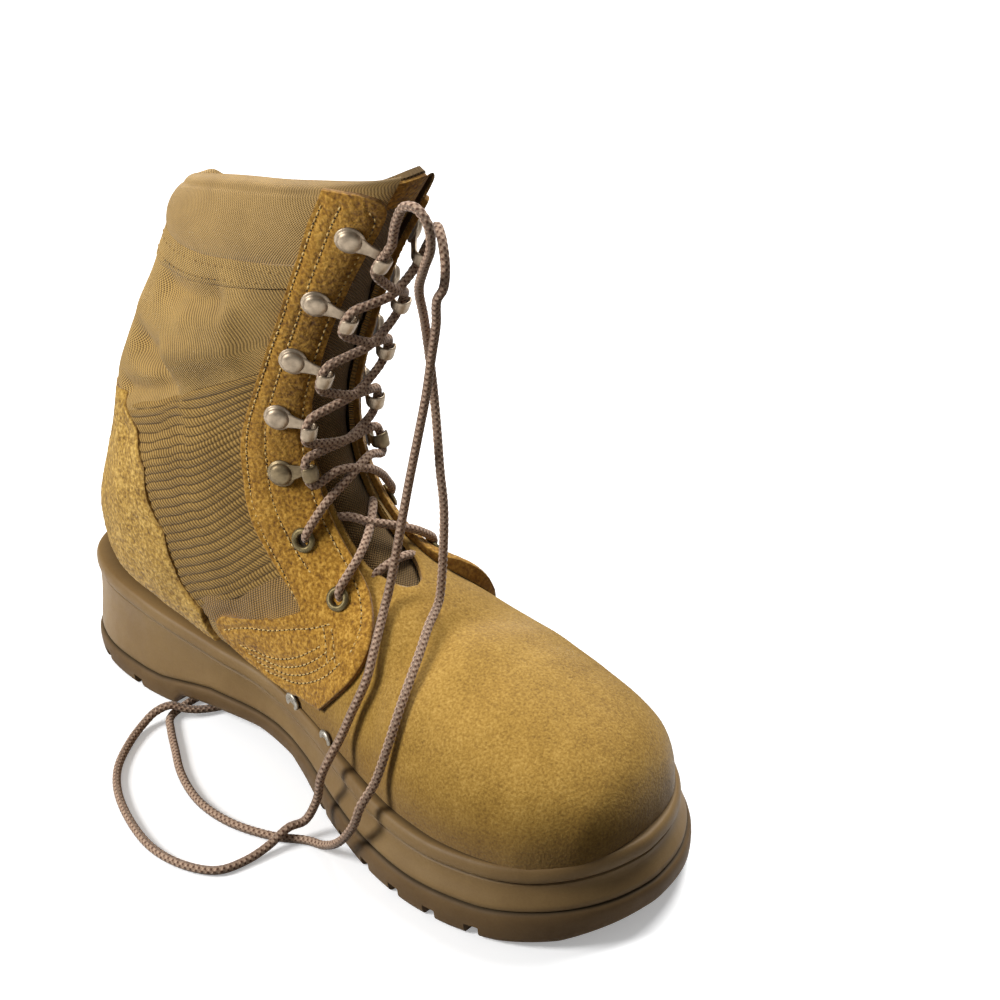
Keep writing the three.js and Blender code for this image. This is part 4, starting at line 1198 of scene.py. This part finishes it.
def make_quarters():
    """The eyestays: suede from the top edge down to the sole, with rows of stitches."""
    for side, label in SIDES:
        lines = quarter_lines(side)
        press = groove(lines, 0.38, 1.1)

        def shape(points, u, v):
            lift = 4.2 * np.exp(-((u - 6.5) / 0.55) ** 2 - ((v - 36) / 15) ** 2) if side > 0 else 0.0
            return press(points) + 0.25 * noise(points, 30, 51) + lift

        panel(f"eyestay_{label}", quarter_place(side), (248, 58), OVERLAY_UNDER, OVERLAY, QUARTER_SUEDE,
              [f"quarter_{label}"], edge=(0.0025, 0.012), rounding=0.45, shape=shape,
              rough=0.07, seed=52)
        for line in lines:
            seams.sew(line, OVERLAY - 0.22, pitch=3.0, width=0.72)


make_quarters()


def make_counter():
    """Suede round the heel, in one piece."""
    def place(a, b):
        u = lerp(7.9, 13.2, a)
        front = table([(7.9, 128), *COUNTER_EDGE], u)
        return u, -lerp(front, 360 - front, b)

    def shape(points, u, v):
        return 0.3 * noise(points, 26, 61)

    panel("counter_suede", place, (154, 110), OVERLAY_UNDER, OVERLAY, COUNTER_SUEDE,
          ["heel_counter"], edge=(0.004, 0.004), shape=shape, rough=0.14, seed=62)


make_counter()


FOLD_ROWS, FOLD_HEIGHT = 0.46, 1.75  # of the shaft's folded edge under the collar


def make_collar_fold():
    """The folded edge of the shaft, with two rows of stitches."""
    def place(a, b):
        turn = signed(lerp(48, 312, b))
        return seam_row(turn) + lerp(-FOLD_ROWS, 0.04, a), turn

    panel("collar_fold", place, (9, 190), 0.2, FOLD_HEIGHT, SHAFT_NYLON, edge=(0.05, 0.004),
          rounding=0.6)
    for lift in (0.12, 0.34):
        for side in (-1, 1):
            seam = [(float(seam_row(v)) - lift, side * v) for v in (58, 75, 95, 115, 135, 155, 178)]
            seams.sew(seam, FOLD_HEIGHT - 0.18, pitch=4.4, width=1.0, dark=True, hole=0.75)


make_collar_fold()


def make_tongue_band():
    """Suede band across the top of the tongue."""
    def place(a, b):
        return lerp(15.45, 16.11, a), lerp(-1, 1, b) * 43.5

    panel("tongue_band", place, (26, 70), -WALL - 0.9, -WALL + 0.5, QUARTER_SUEDE,
          rough=0.06, seed=71)


make_tongue_band()
seams.make()


# ---------------------------------------------------------------- sole
# Plan outline in percent of LENGTH: x, then y of the medial and of the lateral edge.
OUTLINE = np.array([
    [0.0, -0.3, 0.3],
    [1.3, -5.4, 5.4],
    [4.0, -9.2, 9.2],
    [9.6, -12.0, 12.0],
    [19.2, -13.0, 13.0],
    [32.1, -12.0, 13.0],
    [41.7, -11.1, 14.0],
    [51.3, -12.4, 15.9],
    [60.9, -15.3, 17.6],
    [68.9, -17.6, 18.5],
    [76.9, -18.6, 18.1],
    [84.0, -18.0, 17.0],
    [90.4, -16.0, 14.6],
    [95.5, -12.2, 10.3],
    [98.7, -7.4, 5.2],
    [100.0, -2.6, 0.2],
]) * LENGTH / 100
# Heights along the sole, as x and z, and how far the tread swells past the outline
GROUND = [(0, 4), (14, 0), (76, 0), (81, 6), (100, 8), (128, 9), (150, 7), (168, 1), (178, 0), (262, 0),
          (280, 0.8), (298, 3), (312, 8)]
PARTING = [(0, 11), (70, 11.5), (100, 17), (140, 17), (170, 14), (245, 13), (275, 14), (312, 18)]
SWELL = [(0, 2.2), (60, 1.8), (90, 0.3), (150, 0), (190, 2.5), (240, 3), (312, 3)]
NOTCHES = [28, 54, 181, 199, 217, 235, 253, 271]
NOTCH_WIDTH, NOTCH_DEPTH, NOTCH_REACH = 5.0, 5.0, 11.0
EDGE_POINTS = 326  # along each side of the sole


def even_half(points, count):
    """One edge of the sole from heel to toe, with points at the sides of the notches too."""
    lengths = lengths_along(points)
    sides = [x + side * (NOTCH_WIDTH / 2 + d) for x in NOTCHES for side in (-1, 1) for d in (-0.25, 0.25)]
    at_notches = np.interp(sides, points[:, 0], lengths)
    at = np.sort(np.concatenate([np.linspace(0, lengths[-1], count), at_notches]))
    return np.stack([np.interp(at, lengths, points[:, k]) for k in (0, 1)], -1)


def sole_ring():
    """Points round the sole's edge, up the medial edge to the toe and back down the lateral one,
    and the directions out from them."""
    corners = np.vstack([OUTLINE[:, [0, 1]], OUTLINE[::-1][:, [0, 2]]])
    per_span = 24
    dense = centripetal(np.column_stack([corners, np.zeros(len(corners))]), per_span, closed=True)[:, :2]
    toe = per_span * len(OUTLINE) - per_span // 2
    heel = len(dense) - per_span // 2
    medial = np.vstack([dense[heel:], dense[:toe + 1]])
    lateral = dense[toe:heel + 1][::-1]
    ring = np.vstack([even_half(medial, EDGE_POINTS), even_half(lateral, EDGE_POINTS)[::-1][1:-1]])
    tangent = np.roll(ring, -3, axis=0) - np.roll(ring, 3, axis=0)
    tangent /= np.linalg.norm(tangent, axis=1, keepdims=True)
    return ring, np.stack([tangent[:, 1], -tangent[:, 0]], -1)


RING, RING_OUT = sole_ring()
RING_X = RING[:, 0]
AROUND = lengths_along(RING)
GROUND_AT, PARTING_AT, RIM_AT, SWELL_AT = (table(rows, RING_X) for rows in (GROUND, PARTING, RIM, SWELL))
IN_NOTCH = np.zeros(len(RING), bool)
for notch in NOTCHES:
    IN_NOTCH |= np.abs(RING_X - notch) < NOTCH_WIDTH / 2


def ring_at(inset, height):
    """The sole's edge moved in and raised."""
    flat = RING - RING_OUT * np.broadcast_to(inset, len(RING))[:, None]
    return np.column_stack([flat, np.broadcast_to(height, len(RING))])


def cap_grid(ring, across, height=None):
    """Cross strips from the medial to the lateral edge; height(x, y, z) may shape the middle."""
    count = len(ring)
    half = count // 2 + 1
    medial = ring[:half]
    lateral = ring[[(-i) % count for i in range(half)]]
    t = np.linspace(0, 1, across)[None, :, None]
    strips = lerp(medial[:, None], lateral[:, None], t)
    if height is not None:
        strips[:, 1:-1, 2] = height(*np.moveaxis(strips[:, 1:-1], -1, 0))
    return strips


def weld(points, faces):
    """The same mesh with doubled points made one, and which of the points are kept."""
    key = np.round(points * 2000).astype(np.int64)
    _, first, inverse = np.unique(key, axis=0, return_index=True, return_inverse=True)
    inverse = inverse.ravel()
    out = []
    for face in inverse[faces].tolist():
        corners = [c for k, c in enumerate(face) if c != face[k - 1]]
        if len(set(corners)) == len(corners) > 2:
            out.append(corners)
    return points[first], out, first


def sole_mesh(name, rings, grooves, material, replaces, bottom, top):
    """A closed body through rings, with grids as its bottom and top."""
    walls = np.array(rings)
    count = walls.shape[1]
    along = lengths_along(walls[:, 0])
    uv = [np.stack(np.meshgrid(along, AROUND, indexing="ij"), -1).reshape(-1, 2)]
    points, faces = [walls.reshape(-1, 3)], [grid_faces(len(walls), count, wrap=True, flip=True)]
    # grooves holds the painted shade of each ring
    dark = [np.repeat(grooves, count)]
    start = len(points[0])
    for cap, flip in ((bottom, False), (top, True)):
        points.append(cap.reshape(-1, 3))
        faces.append(grid_faces(*cap.shape[:2], start, flip=flip))
        uv.append(cap[..., :2].reshape(-1, 2))
        dark.append(np.zeros(len(points[-1])))
        start += len(points[-1])
    points, faces = np.concatenate(points), np.concatenate(faces)
    points, faces, kept = weld(points, faces)
    return make_mesh(name, points, faces, material, replaces, np.concatenate(uv)[kept], 42,
                     {"groove": np.concatenate(dark)[kept]})


def tread(x, y, z):
    """Lugs of the tread: cross grooves in line with the notches and a zigzag between them."""
    pitch = 18.0
    in_heel = (x > 8) & (x < 74)
    in_ball = (x > 174) & (x < 292)
    phase = np.where(in_heel, (x - 28) / 26, (x - 181) / pitch)
    bend = 0.22 * np.abs(((y + 200) / 22) % 2 - 1) * np.minimum(1, np.abs(y) / 30 + 0.4)
    cross = np.abs(((phase + bend - 0.11 + 0.5) % 1) - 0.5) * np.where(in_heel, 26, pitch)
    middle = np.abs(y - 2 - 5 * np.sin(phase * math.pi))
    groove = np.maximum(1 - smoothstep(1.8, 2.6, cross), 1 - smoothstep(2.0, 2.8, middle))
    fine = 0.25 * np.abs(np.sin(x * 0.9))
    return z + np.where(in_heel | in_ball, 4.2 * groove, fine)


def make_outsole():
    depth = np.where(IN_NOTCH, NOTCH_REACH, 0.0)
    body = PARTING_AT - GROUND_AT
    levels = [(2.4, 0.0), (1.5, 0.35), (0.9, 1.0), (0.4, 2.2), (0.25, 3.4), (0.15, NOTCH_DEPTH - 0.15)]
    rings = [ring_at(inset - SWELL_AT + depth, GROUND_AT + np.minimum(lift, body * 0.5))
             for inset, lift in levels]
    grooves = [0.0] * len(rings)
    start = np.minimum(NOTCH_DEPTH + 0.15, body * 0.55)
    # the last column is painted shade in the parting groove
    for t, inset, dark in ((0, 0.1, 0), (0.35, 0.0, 0), (0.65, 0.1, 0), (0.85, 0.5, 0), (0.95, 1.0, 0.3),
                           (1.0, 1.9, 1), (1.0, 5.0, 1)):
        rings.append(ring_at(inset - SWELL_AT, GROUND_AT + lerp(start, body, t)))
        grooves.append(dark)
    sole_mesh("rubber_outsole", rings, grooves, OUTSOLE_RUBBER, ["outsole"], cap_grid(rings[0], 72, tread),
              cap_grid(rings[-1], 8))


def form_tree():
    """The upper's form as a tree for casting rays."""
    u, v = grid(np.linspace(0, 13, 150), np.linspace(-180, 180, 181))
    points = form_point(u, v)
    faces = grid_faces(*u.shape)
    return BVHTree.FromPolygons([tuple(p) for p in points.reshape(-1, 3)], faces.tolist())


def inset_of_form(height, tree, fallback):
    """How far in from the outline the form is, at each point of the ring."""
    out = []
    outside = 8  # where the rays start
    for (x, y), (nx, ny), z, other in zip(RING, RING_OUT, height, fallback):
        start = Vector((x + nx * outside, y + ny * outside, z))
        hit = tree.ray_cast(start, Vector((-nx, -ny, 0)), 60)
        out.append(hit[3] - outside if hit[0] is not None else other)
    return np.clip(np.array(out), 3.2, 24)


def make_midsole():
    """The rim's body: out from the parting, in under the lip, over it and down to a floor."""
    levels = [
        # inset, share of the swell, height above the parting, painted shade
        (5.0, 1.0, 0.3, 1),
        (2.6, 1.0, 0.3, 1),
        (1.5, 0.85, 0.7, 0.6),
        (1.15, 0.75, 1.4, 0.1),
        (1.0, 0.7, 2.5, 0),
    ]
    rings = [ring_at(inset - share * SWELL_AT, PARTING_AT + lift) for inset, share, lift, _ in levels]
    grooves = [row[3] for row in levels]
    low, high = PARTING_AT + 2.5, RIM_AT - 7.6
    for t in np.linspace(0.08, 1, 12):
        share = smoothstep(0, 1, t) * 0.5 + t * 0.5
        inset = lerp(1 - 0.7 * SWELL_AT, 2.2, share) + 0.5 * math.sin(math.pi * t)
        rings.append(ring_at(inset, lerp(low, high, t)))
        grooves.append(0)
    # inset, drop below the rim, painted shade under the lip
    lip = [(2.7, 7.2, 0.5), (3.1, 6.9, 0.9), (2.7, 6.5, 0.6), (1.9, 6.1, 0.15), (1.45, 5.4, 0), (1.3, 4.5, 0),
           (1.35, 3.4, 0), (1.5, 2.3, 0), (1.9, 1.2, 0), (2.5, 0.45, 0), (3.2, 0.08, 0)]
    for inset, drop, dark in lip:
        rings.append(ring_at(inset, RIM_AT - drop))
        grooves.append(dark)
    tree = form_tree()
    rows = np.linspace(0.9, 10.2, 60)
    under = form_point(rows, 180.0)
    order = np.argsort(under[:, 0])
    floor_height = np.interp(RING_X, under[order, 0], under[order, 2]) - 0.6
    inset = np.full(len(RING), 6.0)
    # rings down the inside of the rim to its floor, all with painted shade
    for t in (0, 0.06, 0.2, 0.4, 0.65, 1.0):
        height = lerp(RIM_AT - 0.1, floor_height, t)
        inset = inset_of_form(height, tree, inset) + (0.4 if t else 0.0)
        rings.append(ring_at(np.maximum(inset, 3.4), height))
        grooves.append(1.0)
    sole_mesh("rubber_midsole", rings, grooves, MIDSOLE_RUBBER, ["midsole"], cap_grid(rings[0], 8),
              cap_grid(rings[-1], 10))


make_outsole()
make_midsole()


# ---------------------------------------------------------------- metal
LATHE_SIDES = 40


def lathe_part(profile, place):
    """A turned solid from (radius, height) rows, from its middle below to its middle above."""
    origin, forward, up, outward = place
    turned = round_axes(circle(LATHE_SIDES), forward, up)
    rings = [origin + radius * turned + outward * height for radius, height in profile]
    return np.concatenate(rings), grid_faces(len(profile), LATHE_SIDES, wrap=True)


def strip_part(place):
    """Flat neck of a hook and its curl: a strip with rounded edges, wider at the curl."""
    origin, forward, up, outward = place
    radius = CURL_INNER + HOOK_METAL / 2
    path = [(x, CURL_HEIGHT - radius, 0.0) for x in np.linspace(1.5, HOOK_REACH, 16, endpoint=False)]
    for degrees in np.linspace(-90, 130, 26):
        angle = math.radians(degrees)
        path.append((HOOK_REACH + radius * math.cos(angle), CURL_HEIGHT + radius * math.sin(angle),
                     angle + math.pi / 2))
    sides = 16
    section_angle = circle(sides)
    across = np.sign(np.cos(section_angle)) * np.abs(np.cos(section_angle)) ** 0.45
    through = np.sign(np.sin(section_angle)) * np.abs(np.sin(section_angle)) ** 0.8
    rings = []
    last = len(path) - 1
    for i, (x, z, turn) in enumerate(path):
        width = lerp(7.4, 4.4, smoothstep(0, 0.28, i / last)) + 1.5 * smoothstep(0.35, 0.75, i / last)
        width *= 1 - 0.35 * smoothstep(0.93, 1, i / last)
        thick = HOOK_METAL * (1 if i < last else 0.6)
        normal = -math.sin(turn) * forward + math.cos(turn) * outward
        centre = origin + forward * x + outward * z
        rings.append(centre + across[:, None] * width / 2 * up + through[:, None] * thick / 2 * normal)
    points = np.concatenate([*rings, [rings[0].mean(0), rings[-1].mean(0)]])
    faces = grid_faces(len(path), sides, wrap=True).tolist()
    start = last * sides
    for j in range(sides):
        after = (j + 1) % sides
        faces.append([len(points) - 2, after, j, j])
        faces.append([len(points) - 1, start + j, start + after, start + after])
    return points, faces


# Turned profiles, as radius and height
HOOK_CAP = [(0.0, 0.0), (5.3, 0.0), (5.5, 0.25), (5.5, 0.6), (5.25, 0.85), (4.7, 1.0), (4.45, 1.3),
            (4.3, 1.8), (3.9, 2.35), (3.2, 2.8), (2.2, 3.1), (1.1, 3.25), (0.0, 3.3)]
EYELET_RING = [(2.4, -1.2), (4.6, 0.0), (4.9, 0.1), (5.0, 0.4), (4.75, 0.85), (4.2, 1.25), (3.6, 1.4),
               (3.0, 1.25), (2.6, 0.8), (2.45, 0.0), (2.4, -1.2)]
EYELET_WELL = [(0.0, -1.0), (2.7, -1.0), (2.7, -0.5), (0.0, -0.45)]
VENT_RING = [(0.0, 0.0), (4.2, 0.0), (4.3, 0.4), (4.1, 0.9), (3.5, 1.2), (2.6, 1.15), (2.1, 0.8), (1.9, 0.5),
             (0.0, 0.45)]
RIVET_BACK = [(0.0, 0.0), (4.0, 0.0), (4.1, 0.3), (3.7, 0.7), (2.6, 0.9), (1.6, 0.7), (0.0, 0.6)]


VENTS = [(7.1, -97.5), (6.4, -95.5)]
RIVET_DEPTH, EYELET_LIFT, VENT_LIFT = 2.9, 2.8, 0.9  # below and above the form


def metal_piece(name, parts, material, replaces=()):
    points, faces = combined(parts)
    points, faces, _ = weld(points, faces)
    make_mesh(name, points, faces, material, replaces, sharp=45)


def make_metal():
    """Hooks with their rivets, eyelets with their wells, and vents."""
    for side, label in SIDES:
        for i, row in enumerate(HOOK_ROWS):
            where = f"{label}_{i + 1}"
            place = hook_frame(side, row)
            metal = HOOK_METAL_DARK if i == len(HOOK_ROWS) - 1 else HOOK_METAL_NICKEL
            metal_piece(f"hook_piece_{where}", [lathe_part(HOOK_CAP, place), strip_part(place)], metal,
                        [f"hook_{where}"])
            origin, forward, up, outward = surface_frame(row, side * HOOK_ANGLE, -RIVET_DEPTH)
            back = lathe_part(RIVET_BACK, (origin, forward, -up, -outward))
            metal_piece(f"rivet_back_{where}", [back], EYELET_METAL)
        for i, (u, v) in enumerate(EYELETS):
            where = f"{label}_{i + 1}"
            place = surface_frame(u, side * v, EYELET_LIFT)
            metal_piece(f"eyelet_ring_{where}", [lathe_part(EYELET_RING, place)], EYELET_METAL,
                        [f"eyelet_{where}"])
            # the well is painted shade in the eyelet's hole
            metal_piece(f"eyelet_well_{where}", [lathe_part(EYELET_WELL, place)], HOLE_SHADE)
    for i, (u, v) in enumerate(VENTS):
        ring = lathe_part(VENT_RING, surface_frame(u, v, VENT_LIFT))
        metal_piece(f"vent_ring_{i + 1}", [ring], VENT_METAL, [f"vent_{i + 1}"])


make_metal()


# ---------------------------------------------------------------- floor and light
def make_floor():
    mesh = bpy.data.meshes.new("floor")
    reach = 6  # metres
    corners = [(x * reach, y * reach, 0) for x, y in ((-1, -1), (1, -1), (1, 1), (-1, 1))]
    mesh.from_pydata(corners, [], [(0, 1, 2, 3)])
    floor = add_object("floor", mesh)
    n = Nodes("pale_floor")
    n.put(n.shader.inputs["Emission Color"], WHITE)
    n.put(n.shader.inputs["Emission Strength"], 0.3)
    mesh.materials.append(n.finish((0.93, 0.93, 0.93, 1), 0.9, specular=0.1))
    floor.visible_diffuse = False


def make_light(name, at, toward, size, power):
    data = bpy.data.lights.new(name, "AREA")
    data.shape = "DISK"
    data.size = size
    data.energy = power
    light = add_object(name, data)
    at, toward = Vector(at), Vector(toward)
    turn = (at - toward).to_track_quat("Z", "Y").to_matrix().to_4x4()
    light.matrix_world = Matrix.Translation(at) @ turn


def make_world(above, below):
    """Light from all round, dimmer from below the horizon; the camera sees it pale."""
    n = Nodes("studio", bpy.data.worlds, "Background")
    split = n.add("ShaderNodeSeparateXYZ")
    n.put(split.inputs[0], n.add("ShaderNodeTexCoord").outputs["Generated"])
    lit = n.ramp(split.outputs["Z"], [(0.0, (below, below * 0.95, below * 0.85, 1)),
                                      (0.25, (above, above, above, 1))])
    to_camera = n.add("ShaderNodeLightPath").outputs["Is Camera Ray"]
    n.put(n.shader.inputs["Color"], n.mix(to_camera, lit, (0.8, 0.8, 0.8, 1)))
    n.put(n.shader.inputs["Strength"], 1.0)
    bpy.context.scene.world = n.owner


make_floor()
make_world(above=0.22, below=0.04)
make_light("key_softbox", at=(-0.25, 1.25, 2.2), toward=(0.0, 0.0, 0.1), size=1.3, power=72)
make_light("side_softbox", at=(-0.38, -0.66, 0.56), toward=(-0.06, 0.0, 0.14), size=0.36, power=8.5)
bpy.context.scene.view_settings.view_transform = "Standard"
